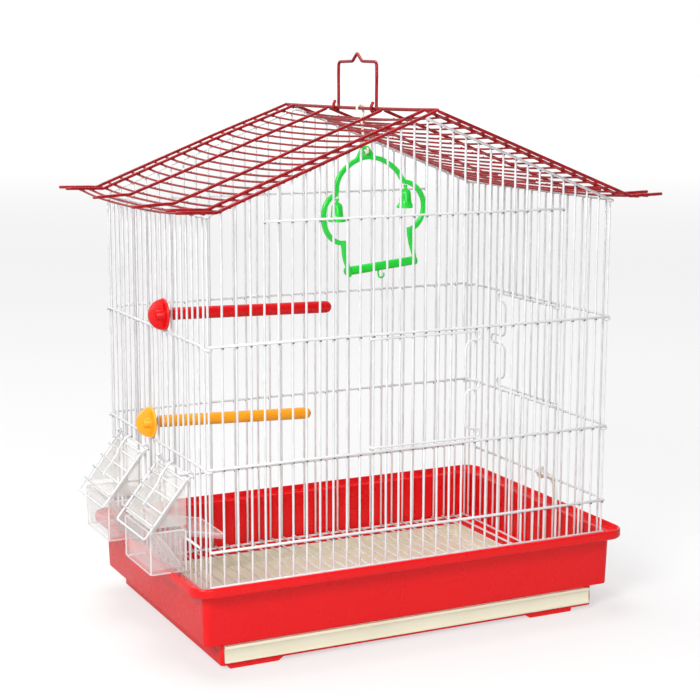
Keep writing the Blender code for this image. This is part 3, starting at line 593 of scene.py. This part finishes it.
# --------------------------------------------------------------------- base tub
def filleted_profile(profile, seg=3):
    """Profile points (half x, half y, corner radius, z, fillet) with small
    rounds at the marked points."""
    out = []
    n = len(profile)
    for i, (hx, hy, r, z, f) in enumerate(profile):
        p = V((hx, hy, r, z)) if False else (hx, hy, r, z)
        if f <= 0 or i == 0 or i == n - 1:
            out.append(p)
            continue
        a, b = profile[i - 1], profile[i + 1]
        da = math.hypot(a[0] - hx, a[3] - z) or 1.0
        db = math.hypot(b[0] - hx, b[3] - z) or 1.0
        ca, cb = min(f, da * 0.45), min(f, db * 0.45)
        pa = [hx + (a[0] - hx) * ca / da, hy + (a[1] - hy) * ca / da, r + (a[2] - r) * ca / da, z + (a[3] - z) * ca / da]
        pb = [hx + (b[0] - hx) * cb / db, hy + (b[1] - hy) * cb / db, r + (b[2] - r) * cb / db, z + (b[3] - z) * cb / db]
        for s in range(seg + 1):
            t = s / seg
            out.append(tuple((1 - t) ** 2 * pa[c] + 2 * t * (1 - t) * p[c] + t * t * pb[c] for c in range(4)))
    return out


def shell_object(name, profile, mats, seg=10, angle=35.0):
    s = Stock()
    s.loft([round_rect(hx, hy, r, z, seg) for hx, hy, r, z in profile])
    return s.build(name, mats, angle)


TUB = [
    (188.8, 126.9, 1.5, -83.1, 0.0), (207.0, 132.9, 5.0, -83.1, 1.2),
    (208.6, 134.4, 6.5, -36.5, 1.6), (218.8, 144.6, 16.5, -36.5, 1.2), (220.2, 146.0, 18.0, -35.0, 0.8),
    (220.2, 146.0, 18.0, -28.6, 1.0), (219.0, 144.8, 16.8, -27.4, 0.6), (217.6, 143.4, 15.4, -27.4, 0.7),
    (217.0, 142.8, 14.8, -32.5, 0.8), (207.0, 133.1, 5.2, -32.5, 0.7),
    (206.4, 132.5, 4.6, -33.6, 0.5), (205.2, 131.3, 3.4, -80.6, 1.0), (188.8, 126.9, 1.5, -80.6, 0.0),
]
s = Stock()
s.loft([round_rect(hx, hy, r, z, 12) for hx, hy, r, z in filleted_profile(TUB)], closed=True)
tub = s.build("base_shell", [RED], 35)
FRAME = [(180.0, 118.0, 1.0, -103.6, 0.0), (191.2, 129.4, 3.0, -103.6, 0.6), (191.2, 129.4, 3.0, -83.4, 0.6),
         (188.8, 126.9, 1.5, -83.4, 0.5), (188.8, 126.9, 1.5, -101.6, 0.5), (180.0, 118.0, 1.0, -101.6, 0.0)]
carrier = shell_object("base_carrier", filleted_profile(FRAME), [RED], 8)


def block(name, x0, x1, y0, y1, z0, z1, mats):
    s = Stock()
    s.loft([[(x0, y0, z), (x1, y0, z), (x1, y1, z), (x0, y1, z)] for z in (z0, z1)])
    return s.build(name, mats, 30)


def boolean(ob, tool, operation):
    mod = ob.modifiers.new("cut", "BOOLEAN")
    mod.operation = operation
    mod.solver = "EXACT"
    mod.object = tool
    bpy.context.view_layer.update()
    mesh = bpy.data.meshes.new_from_object(ob.evaluated_get(bpy.context.evaluated_depsgraph_get()))
    ob.modifiers.clear()
    old = ob.data
    ob.data = mesh
    bpy.data.meshes.remove(old)
    bpy.data.objects.remove(tool, do_unlink=True)


boolean(carrier, block("slot_tool", -188.4, 188.4, -140.0, -120.0, -101.6, -85.1, [RED]), "DIFFERENCE")
for sx in (-1, 1):
    for sy in (-1, 1):
        s = Stock()
        inner, outer = (116.0, 169.0) if sx > 0 else (130.0, 183.0)
        section = ((outer, -106.6), (outer - 0.5, -107.1), (inner + 7.5, -107.1), (inner + 6.6, -106.8), (inner + 0.4, -102.6),
                   (outer + 1.0, -102.6))
        s.loft([[(sx * px, sy * y, pz) for px, pz in section] for y in (96.0, 128.6)])
        boolean(carrier, s.build("foot_tool", [RED], 30), "UNION")
for ob, node in ((tub, "base_tub"), (carrier, "base_frame")):
    ob.data.materials.clear()
    ob.data.materials.append(RED)
    ob.data.shade_smooth()
    ob.data.set_sharp_from_angle(angle=math.radians(35))
    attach(ob, "cage")
    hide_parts(node)

# ----------------------------------------------------------------- pull-out tray
TRAY = [
    (180.0, 120.0, 1.0, -101.2, 0.0), (187.6, 127.4, 2.5, -101.2, 1.0), (187.9, 127.7, 2.5, -87.6, 0.6),
    (185.9, 125.7, 1.6, -87.6, 0.6), (185.6, 125.4, 1.6, -99.3, 1.2), (178.0, 118.0, 1.0, -99.3, 0.0)]
s = Stock()
s.loft([round_rect(hx, hy, r, z, 6, 0.0, -1.6) for hx, hy, r, z in filleted_profile(TRAY)])
profile = [(-128.9, -100.9), (-130.9, -101.1), (-131.5, -100.7), (-131.5, -99.9), (-130.7, -98.6), (-130.2, -95.0),
           (-130.2, -91.5), (-130.9, -88.9), (-131.7, -88.3), (-131.8, -86.4), (-131.4, -85.7), (-129.2, -85.6),
           (-128.8, -86.2)]
ends = [(-188.05, 0.35), (-187.7, 0.0), (187.7, 0.0), (188.05, 0.35)]
cy = sum(p[0] for p in profile) / len(profile)
cz = sum(p[1] for p in profile) / len(profile)
rings = []
for x, inset in ends:
    ring = []
    for y, z in profile:
        ring.append((x, y + (cy - y) * inset * 0.3, z + (0.3 if z < cz else -0.3) * (inset > 0)))
    rings.append(ring)
s.loft(rings)
tray = s.build("tray_skin", [CREAM], 32)
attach(tray, "tray")
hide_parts("drawer_tray")

# -------------------------------------------------------------------- floor grate
s = Stock()
for i in range(32):
    x = -196.0 + 392.0 / 31 * i
    s.tube([(x, -127.4, -77.3), (x + wobble(i, 0.3, 9), 0, -77.3), (x, 127.4, -77.3)], 1.0, 8)
    # dark beads at the bar crossings: weld metal and painted shadow dots
    for y in (-126.6, 0.0, 126.6):
        s.bead((x, y, -78.4), 0.8)
for y in (-126.6, 0.0, 126.6):
    s.tube([(-198.8, y, -79.3), (198.8, y, -79.3)], 1.0, 10)
grate = s.build("floor_grate_wire", [WIRE, WELD_AND_SHADOW_DOT])
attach(grate, "cage")
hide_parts("floor_grate")

# ------------------------------------------------------------------ feeder flaps
TILT = math.radians(38.2)
SIN, COS = math.sin(TILT), math.cos(TILT)


def flap_frame(centre):
    return lambda r, y, n: V((AXIS_X - r * SIN - n * COS, centre + y, AXIS_Z - r * COS + n * SIN))


for tag, centre in FEEDERS.items():
    P = flap_frame(centre)
    s = Stock()
    half = 37.6
    # border wire: curl on the hinge rod, down one side, across, up the other
    def eye(sy):
        pts = []
        for k in range(11):
            a = math.radians(-60 + 240.0 * k / 10)
            pts.append(P(2.6 * math.cos(a), sy * half, 2.6 * math.sin(a)))
        return pts
    left = [P(2.6 * math.cos(math.radians(a)), -half, 2.6 * math.sin(math.radians(a))) for a in range(70, 311, 24)]
    right = [P(2.6 * math.cos(math.radians(a)), half, 2.6 * math.sin(math.radians(a))) for a in range(310, 69, -24)]
    border = rounded([P(5.5, -half, 0), P(67.6, -half, 0), P(67.6, half, 0), P(5.5, half, 0)], 3.2, 6)
    s.tube(left + border + right, 1.0, 10)
    for r in (6.4, 14.6, 27.6, 41.0, 54.4):
        s.tube([P(r, -half - 1.2, 1.75), P(r + wobble(r, 0.2), 0, 1.75), P(r, half + 1.2, 1.75)], 0.92, 8)
        # dark beads where the cross wires meet the border: weld metal and painted shadow dots
        for sy in (-1, 1):
            s.bead(P(r, sy * half, 0.9), 0.8)
    # middle rib hooked over the hinge rod, with its bend near the top
    rib = rounded([P(-2.3, 3.9, 1.2), P(0.5, 3.9, 3.4), P(5.0, 3.9, 3.9), P(13.5, 3.9, 3.9), P(20.0, 0.4, 3.5),
                   P(43.4, 0.2, 3.4)], 3.0, 4)
    s.tube(rib, 0.92, 8)
    flap = s.build("flap_wire_" + tag, [WIRE, WELD_AND_SHADOW_DOT])
    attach(flap, "flap_" + tag)
    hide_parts("feeder_flap_" + tag)

    # clear hood hung under the flap
    s = Stock()

    def sheet_ring(y, grow=0.0):
        pts = [(4.6, -4.0), (5.6, -2.2), (8.2, -1.9), (9.4, -2.4), (54.0, -2.3), (55.4, -1.8), (57.2, -1.9), (57.2, -3.6),
               (55.6, -3.9), (9.4, -3.7), (8.0, -4.6), (5.6, -4.7)]
        return [P(r, y, n) for r, n in pts]

    s.loft([sheet_ring(-35.7), sheet_ring(-35.2), sheet_ring(35.2), sheet_ring(35.7)])
    for sy in (-1, 1):
        top, foot = P(9.0, 0, -3.3), P(55.0, 0, -3.3)
        outline = [(top.x, top.z), (foot.x, foot.z), (foot.x + 2.6, 14.2), (-207.0, 13.8), (-205.5, 15.6), (-205.5, top.z)]
        rings = []
        for y in (34.3, 35.4):
            rings.append([(x, centre + sy * y, z) for x, z in outline])
        s.loft(rings)
    # its rolled lower lip and the cut ends in the whiter clear plastic, a painted edge-on reflection
    s.loft([[P(r, y, n) for r, n in ((55.6, -1.7), (57.4, -1.8), (57.4, -3.7), (55.6, -4.0))] for y in (-35.75, 35.75)], 1)
    for sy in (-1, 1):
        s.loft([[P(r, sy * y, n) for y, n in ((35.3, -1.8), (35.9, -1.8), (35.9, -3.8), (35.3, -3.8))] for r in (8.0, 56.0)], 1)
    hood = s.build("hood_skin_" + tag, [CLEAR_TOP, CLEAR_GLINT_AND_DIVIDER], 30)
    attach(hood, "flap_" + tag)
    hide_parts("feeder_hood_" + tag)

# ------------------------------------------------------------------- seed cups
for tag, centre in FEEDERS.items():
    s = Stock()
    x_out, x_in, tip = -238.4, -205.0, -167.4
    cxm, hx = (x_out + x_in) / 2, (x_in - x_out) / 2
    h = 34.0
    cup = [
        (hx - 4.0, h - 5.5, 1.0, -28.4, 0.0), (hx - 0.3, h - 0.6, 2.2, -28.4, 1.0), (hx, h, 2.6, 9.2, 0.5),
        (hx - 0.3, h - 0.3, 2.4, 10.0, 0.3), (hx - 1.2, h - 1.2, 1.6, 10.0, 0.3), (hx - 1.6, h - 1.6, 1.4, 9.0, 0.4),
        (hx - 2.4, h - 3.8, 1.2, -25.4, 1.2), (hx - 6.0, h - 8.0, 0.8, -25.4, 0.0)]
    s.loft([round_rect(a, b, r, z, 5, cxm, centre) for a, b, r, z in filleted_profile(cup)])
    # perch plate into the cage, with its raised lip
    pz, pt = 2.15, 2.0
    a, b = (tip - x_in) / 2 + 0.8, 29.5
    px = (tip + x_in) / 2 - 0.8
    plate = [(a - 3, b - 3, 1.2, pz, 0.0), (a, b, 3.0, pz, 0.4), (a, b, 3.0, pz + 5.0, 0.5), (a - 1.5, b - 1.5, 2.0, pz + 5.0, 0.4),
             (a - 1.7, b - 1.7, 1.8, pz + pt, 0.6), (a - 4, b - 4, 1.2, pz + pt, 0.0)]
    droop = lambda q: (q[0], q[1], q[2] - 7.5 * max(0.0, (q[0] - x_in) / (tip - x_in)))
    s.loft([[droop(q) for q in round_rect(u, v, r, z, 5, px, centre)] for u, v, r, z in filleted_profile(plate)])
    # whiter clear strips on the rim, corners and foot: a painted reflection where the plastic is seen edge on
    rim = [(hx + 0.05, h + 0.05, 2.65, 9.0), (hx + 0.05, h + 0.05, 2.65, 10.1), (hx - 1.7, h - 1.7, 1.3, 10.1), (hx - 1.7, h - 1.7, 1.3, 9.0)]
    s.loft([round_rect(u, v, r, z, 5, cxm, centre) for u, v, r, z in rim], 1, closed=True)
    for ux in (-1, 1):
        for uy in (-1, 1):
            ex, ey = cxm + ux * (hx - 0.5), centre + uy * (h - 0.5)
            s.loft([[(ex + 0.75 * math.cos(k * math.pi / 3), ey + 0.75 * math.sin(k * math.pi / 3), z) for k in range(6)]
                    for z in (-27.6, 9.0)], 1)
    foot = [(hx - 0.2, h - 0.5, 2.3, -28.5), (hx + 0.04, h - 0.2, 2.5, -27.4), (hx - 1.0, h - 1.2, 1.6, -27.4),
            (hx - 1.2, h - 1.5, 1.4, -28.5)]
    s.loft([round_rect(u, v, r, z, 5, cxm, centre) for u, v, r, z in foot], 1, closed=True)
    # the plate lip's rim in the whiter clear plastic: a painted edge-on reflection
    lip = [(a + 0.05, b + 0.05, 3.05, pz + 4.3), (a + 0.05, b + 0.05, 3.05, pz + 5.1), (a - 1.6, b - 1.6, 1.9, pz + 5.1),
           (a - 1.6, b - 1.6, 1.9, pz + 4.3)]
    s.loft([[droop(q) for q in round_rect(u, v, r, z, 5, px, centre)] for u, v, r, z in lip], 1, closed=True)
    # curved seed divider standing in the cup
    inner = []
    for k in range(13):
        f = k / 12
        inner.append((-232.0 + 22.0 * f ** 1.5, 7.5 - 30.5 * f + 6.0 * math.sin(math.pi * f)))
    rings = []
    for y in (centre - 31.6, centre + 31.6):
        ring = [(x, y, z) for x, z in inner] + [(x + 0.8, y, z + 0.8) for x, z in reversed(inner)]
        rings.append(ring)
    s.loft(rings, 1)
    cup_ob = s.build("cup_skin_" + tag, [CLEAR, CLEAR_GLINT_AND_DIVIDER], 30)
    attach(cup_ob, "cup_" + tag)
    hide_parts("feeder_cup_" + tag)


# ----------------------------------------------------------------------- perches
def perch(name, y, z, slope, mat, short=0.0):
    s = Stock()
    stations = [(-209.3, 2.2), (-209.0, 2.6), (-199.3, 2.6), (-199.0, 4.6), (-198.3, 5.3), (-197.6, 5.5)]
    stations += [(x, 5.5) for x in slant(-185.0, -52.0 - short, 8)]
    for k in range(9):
        a = math.radians(90.0 * k / 8)
        stations.append((-48.6 - short + 5.5 * math.sin(a), max(0.6, 5.45 * math.cos(a))))
    rings = []
    for x, r in stations:
        zz = z - max(0.0, x + 199.0) * slope
        rings.append([(x, y + r * math.cos(2 * math.pi * k / 28), zz + r * math.sin(2 * math.pi * k / 28)) for k in range(28)])
    s.loft(rings)
    rod = s.build(name + "_rod", [mat], 45)
    # plug: disc, half-round grip and a boss
    s = Stock()
    prof = [(-207.2, 12.6), (-207.1, 13.6), (-206.6, 14.2), (-205.9, 14.4), (-205.3, 14.2), (-204.9, 13.6), (-204.8, 12.6),
            (-204.8, 6.6)]
    rings = [[(x, y + r * math.cos(2 * math.pi * k / 40), z + r * math.sin(2 * math.pi * k / 40)) for k in range(40)]
             for x, r in [(-207.2, 4.0)] + prof]
    s.loft(rings)
    rings = []
    for dy, grow in ((-2.0, 0.82), (-1.75, 0.95), (-1.2, 1.0), (1.2, 1.0), (1.75, 0.95), (2.0, 0.82)):
        ring = []
        for k in range(25):
            a = math.radians(-90 + 180.0 * k / 24)
            g = 1.0 - (1.0 - grow) * 0.35
            ring.append((-206.4 - 13.6 * g * math.cos(a), y + dy, z + 13.7 * g * math.sin(a)))
        rings.append(ring)
    s.loft(rings)
    rings = [[(x, y + r * math.cos(2 * math.pi * k / 24), z + r * math.sin(2 * math.pi * k / 24)) for k in range(24)]
             for x, r in ((-214.2, 3.8), (-213.9, 4.6), (-213.2, 4.9), (-207.6, 5.5), (-207.0, 6.4))]
    s.loft(rings)
    plug = s.build(name + "_grip", [mat], 40)
    for ob, node in ((rod, name), (plug, name + "_plug")):
        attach(ob, "cage")
        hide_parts(node)


perch("perch_red", -38.7, 193.0, 0.022, P_RED)
perch("perch_yellow", 0.0, 88.6, 0.040, P_YELLOW, 3.0)

# ------------------------------------------------------------------------- swing
SWING_Y = -10.5
ROLL = math.radians(8.0)
SC, SS = math.cos(ROLL), math.sin(ROLL)


def sw(u, v, y=0.0):
    return V((u * SC - v * SS, SWING_Y + y, RIDGE + u * SS + v * SC))


s = Stock()
path = []
for k in range(15):
    a = math.radians(205 - 205.0 * k / 14)
    path.append(sw(3.1 * math.cos(a), -1.6 + 3.1 * math.sin(a)))
tail = rounded([sw(3.1, -1.6), sw(2.8, -6.2), sw(0.2, -11.5), sw(0, -18.0), sw(0, -28.5), sw(0, -33.5, 3.2), sw(0, -38.5, 6.4),
                sw(0, -43.2, 5.6), sw(0, -43.4, 0), sw(0, -43.2, -5.2), sw(0, -38.2, -6.0)],
               [5, 6, 8, 8, 6, 5, 3.5, 9, 3.5], 5)
s.tube(path[:-1] + tail, 1.25, 12)
hanger = s.build("swing_hook", [IVORY], 50)
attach(hanger, "hanger")
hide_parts("swing_hanger")


def strip(s, line, depth, bevel=0.5):
    """Flat strip with softened edges along points (u, v, width, forward)."""
    rings = []
    for i, (u, v, w, out) in enumerate([(*p, 0.0)[:4] for p in line]):
        a, b = line[max(i - 1, 0)], line[min(i + 1, len(line) - 1)]
        du, dv = b[0] - a[0], b[1] - a[1]
        ln = math.hypot(du, dv)
        nu, nv = -dv / ln, du / ln
        h, d, c = w / 2, depth / 2, bevel
        prof = [(-h, -d + c), (-h + c, -d), (h - c, -d), (h, -d + c), (h, d - c), (h - c, d), (-h + c, d), (-h, d - c)]
        rings.append([sw(u + nu * p, v + nv * p, q - out) for p, q in prof])
    s.loft(rings)


s = Stock()
def lean(v):
    """The moulding is not quite straight: its middle line at height v."""
    return between(v, ((-160.0, 0.3), (-130.0, 1.0), (-99.0, 1.8), (-77.0, 0.5), (-60.0, -1.6), (-40.0, -1.6)))


leg = [(34.6, -155.2, 2.6, 4.4), (34.8, -153.8, 3.5, 4.5), (35.3, -147.5, 3.7, 4.6), (35.5, -141.0, 3.9, 1.6), (35.5, -136.0, 4.1, 0.0),
       (35.3, -127.5, 4.6, 0.0), (35.4, -121.0, 4.6, 0.0)]
strip(s, [(lean(v) + u, v, w, o) for u, v, w, o in leg], 3.9, 0.6)
strip(s, [(lean(v) - u, v, w, o) for u, v, w, o in leg], 3.88, 0.6)
half = []
for k in range(27):
    a = math.radians(-84 + 164.0 * k / 26)
    half.append((33.0 + 20.1 * math.cos(a), -100.0 + 23.4 * math.sin(a), 4.4))
for k in range(1, 19):
    a = math.radians(4 + 86.0 * k / 18)
    half.append((34.8 * math.cos(a) ** 1.15 if k < 18 else 0.0, -77.5 + 30.0 * math.sin(a), 4.4))
strip(s, [(lean(v) + u, v, w) for u, v, w in half] + [(lean(v) - u, v, w) for u, v, w in reversed(half[:-1])], 4.04, 0.6)
# ear with its eye: a ring of quads round the hole
outer = [(-12.0, -49.2), (-7.6, -43.2), (-3.6, -37.4), (0.0, -37.0), (3.4, -37.4), (6.4, -43.2), (9.5, -49.2), (4.0, -48.4),
         (-1.2, -48.2), (-6.0, -48.4)]
angles = [math.atan2(v + 42.6, u) for u, v in outer]
rings = []
for y, g in ((-1.9, 0.0), (1.9, 0.0)):
    rings.append([sw(u, v, y) for u, v in outer])
hole = [[sw(2.5 * math.cos(a), -42.6 + 2.8 * math.sin(a), y) for a in angles] for y in (1.9, -1.9)]
s.loft([rings[0], rings[1], hole[0], hole[1]], closed=True)
frame_ob = s.build("swing_hoop", [GREEN], 35)
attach(frame_ob, "swing")
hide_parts("swing_frame")

s = Stock()
rings = []
for u, r in ((-36.4, 1.6), (-36.2, 3.0), (-35.4, 3.9), (-34.4, 4.15), (-20.0, 4.15), (0.0, 4.15), (20.0, 4.15), (38.9, 4.15), (39.5, 3.8), (39.8, 3.2)):
    v = -150.4 - 2.8 * (u + 32.6) / 66.3
    rings.append([sw(u, v + r * math.cos(2 * math.pi * k / 24), r * math.sin(2 * math.pi * k / 24)) for k in range(24)])
s.loft(rings)
curl = [sw(-1.4, -155.5), sw(-1.9, -158.0)]
for k in range(13):
    a = math.radians(170 + 215.0 * k / 12)
    curl.append(sw(1.0 + 2.9 * math.cos(a), -160.2 + 2.9 * math.sin(a)))
s.tube(curl, 0.85, 10)
bar_ob = s.build("swing_seat", [GREEN], 45)
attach(bar_ob, "swing")
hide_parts("swing_perch")

for tag, bx, bz in (("left", -23.4, 286.3), ("right", 48.7, 296.8)):
    s = Stock()
    outer = [(0.0, 1.5), (-0.7, 2.1), (-1.5, 2.1), (-2.2, 1.4), (-3.6, 1.5), (-4.2, 2.6), (-5.0, 4.0), (-6.2, 4.9),
             (-8.0, 5.2), (-12.0, 5.5), (-16.6, 6.0), (-18.0, 6.6), (-19.0, 7.5), (-19.8, 8.2), (-20.9, 8.4), (-21.7, 8.0)]
    inner = [(-21.5, 7.2), (-19.4, 6.2), (-17.0, 5.0), (-10.0, 4.2), (-7.0, 3.0)]
    rings = [[V((bx + r * math.cos(2 * math.pi * k / 28), SWING_Y + r * math.sin(2 * math.pi * k / 28), bz + h))
              for k in range(28)] for h, r in outer + inner]
    s.loft(rings)
    bell = s.build("swing_bell_skin_" + tag, [GREEN], 45)
    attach(bell, "bell_" + tag)
    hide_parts("swing_bell_" + tag)

# --------------------------------------------------------------------- base clip
CLIP_Y, CLIP_Z = -12.6, -0.8
s = Stock()
rings = []
for x, r in ((204.6, 4.4), (204.9, 5.4), (205.6, 6.0), (209.2, 6.0), (210.4, 5.4), (210.9, 4.2)):
    rings.append([(x, CLIP_Y + r * math.cos(2 * math.pi * (k + 0.5) / 16), CLIP_Z + r * math.sin(2 * math.pi * (k + 0.5) / 16))
                  for k in range(16)])
s.loft(rings)
line = rounded([(207.2, CLIP_Y - 1.0, CLIP_Z + 0.2), (207.2, CLIP_Y - 19.0, CLIP_Z - 0.6), (207.2, CLIP_Y - 25.4, CLIP_Z - 6.4),
                (207.2, CLIP_Y - 26.6, CLIP_Z - 28.4)], [7.0, 7.0], 6)
rings = []
for i, p in enumerate(line):
    a, b = line[max(i - 1, 0)], line[min(i + 1, len(line) - 1)]
    d = (b - a).normalized()
    n = V((0, -d.z, d.y))
    w, t, c = 2.5, 1.75, 0.5
    prof = [(-w, -t + c), (-w + c, -t), (w - c, -t), (w, -t + c), (w, t - c), (w - c, t), (-w + c, t), (-w, t - c)]
    rings.append([p + n * q + V((r, 0, 0)) for q, r in prof])
s.loft(rings)
clip = s.build("clip_skin", [IVORY], 40)
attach(clip, "clip")
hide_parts("base_clip")

# ------------------------------------------------------------- camera and stage
AZ, EL, TURN = math.radians(-26.18), math.radians(9.91), math.radians(0.13)
back = V((math.sin(AZ) * math.cos(EL), -math.cos(AZ) * math.cos(EL), math.sin(EL)))
right = V((math.cos(AZ), math.sin(AZ), 0.0))
up = back.cross(right)
r2 = right * math.cos(TURN) + up * math.sin(TURN)
u2 = up * math.cos(TURN) - right * math.sin(TURN)
cam = bpy.data.cameras.new("view_camera")
cam_ob = bpy.data.objects.new("view_camera", cam)
scene.collection.objects.link(cam_ob)
cam.sensor_width = 36.0
cam.lens = 36.0 * 1652.5 / 700.0
cam.clip_start, cam.clip_end = 0.05, 50.0
m = Matrix.Identity(4)
for row in range(3):
    m[row][0], m[row][1], m[row][2] = r2[row], u2[row], back[row]
m[0][3], m[1][3], m[2][3] = -691.9 * MM, -1398.5 * MM, (412.2 + BASE) * MM
cam_ob.matrix_world = m
scene.camera = cam_ob

floor_mesh = bpy.data.meshes.new("floor")
floor_mesh.from_pydata([(-60, -60, 0), (60, -60, 0), (60, 60, 0), (-60, 60, 0)], [], [(0, 1, 2, 3)])
floor = bpy.data.objects.new("floor", floor_mesh)
scene.collection.objects.link(floor)
floor_mat, nodes, links, bsdf = new_material("floor_paper")
bsdf.inputs["Base Color"].default_value = (0.35, 0.35, 0.35, 1)
bsdf.inputs["Roughness"].default_value = 0.9
bsdf.inputs["Specular IOR Level"].default_value = 0.0
# a lit table: its own even glow, stronger further from the cage
tex = nodes.new("ShaderNodeTexCoord")
far = nodes.new("ShaderNodeVectorMath")
far.operation = "LENGTH"
links.new(tex.outputs["Object"], far.inputs[0])
glow = nodes.new("ShaderNodeMapRange")
glow.inputs["From Min"].default_value = 0.5
glow.inputs["From Max"].default_value = 9.0
glow.inputs["To Min"].default_value = 0.58
glow.inputs["To Max"].default_value = 1.0
links.new(far.outputs["Value"], glow.inputs["Value"])
bsdf.inputs["Emission Color"].default_value = (1.0, 1.0, 1.0, 1.0)
path = nodes.new("ShaderNodeLightPath")
share = nodes.new("ShaderNodeMapRange")
share.inputs["To Min"].default_value = 0.38
share.inputs["To Max"].default_value = 1.0
links.new(path.outputs["Is Camera Ray"], share.inputs["Value"])
power = nodes.new("ShaderNodeMath")
power.operation = "MULTIPLY"
links.new(glow.outputs["Result"], power.inputs[0])
links.new(share.outputs["Result"], power.inputs[1])
links.new(power.outputs["Value"], bsdf.inputs["Emission Strength"])
floor_mesh.materials.append(floor_mat)

world = bpy.data.worlds.new("studio")
scene.world = world
world.use_nodes = True
nodes, links = world.node_tree.nodes, world.node_tree.links
background = nodes["Background"]
background.inputs["Color"].default_value = (1.0, 1.0, 1.0, 1.0)
# bright paper behind the cage, a dimmer room in front of it
where = nodes.new("ShaderNodeTexCoord")
parts = nodes.new("ShaderNodeSeparateXYZ")
links.new(where.outputs["Generated"], parts.inputs["Vector"])
dim = nodes.new("ShaderNodeMapRange")
dim.inputs["From Min"].default_value = -0.7
dim.inputs["From Max"].default_value = 0.7
dim.inputs["To Min"].default_value = 0.16
dim.inputs["To Max"].default_value = 1.0
links.new(parts.outputs["Y"], dim.inputs["Value"])
rays = nodes.new("ShaderNodeLightPath")
gain = nodes.new("ShaderNodeMapRange")
gain.inputs["To Min"].default_value = 0.6
gain.inputs["To Max"].default_value = 1.0
links.new(rays.outputs["Is Glossy Ray"], gain.inputs["Value"])
power = nodes.new("ShaderNodeMath")
power.operation = "MULTIPLY"
links.new(dim.outputs["Result"], power.inputs[0])
links.new(gain.outputs["Result"], power.inputs[1])
links.new(power.outputs["Value"], background.inputs["Strength"])
seen = nodes.new("ShaderNodeBackground")
seen.inputs["Color"].default_value = (1.0, 1.0, 1.0, 1.0)
seen.inputs["Strength"].default_value = 1.0
mix = nodes.new("ShaderNodeMixShader")
links.new(rays.outputs["Is Camera Ray"], mix.inputs["Fac"])
links.new(background.outputs[0], mix.inputs[1])
links.new(seen.outputs[0], mix.inputs[2])
links.new(mix.outputs[0], nodes["World Output"].inputs["Surface"])


def area(name, place, target, size, power, tint=(1, 1, 1)):
    light = bpy.data.lights.new(name, "AREA")
    light.shape = "RECTANGLE"
    light.size, light.size_y = size
    light.energy = power
    light.color = tint
    ob = bpy.data.objects.new(name, light)
    scene.collection.objects.link(ob)
    ob.location = place
    ob.rotation_mode = "QUATERNION"
    ob.rotation_quaternion = (V(place) - V(target)).to_track_quat("Z", "Y")


area("key", (-2.2, -1.75, 1.9), (0, 0, 0.25), (1.0, 1.0), 82.0, (1.0, 0.995, 0.98))
area("fill", (-0.7, -3.0, 0.95), (0, 0, 0.12), (1.4, 0.9), 33.0)
area("top", (-0.2, 0.4, 2.6), (0, 0, 0.2), (1.2, 1.2), 36.0)

scene.view_settings.view_transform = "Standard"
scene.view_settings.look = "None"
scene.view_settings.exposure = 0.0
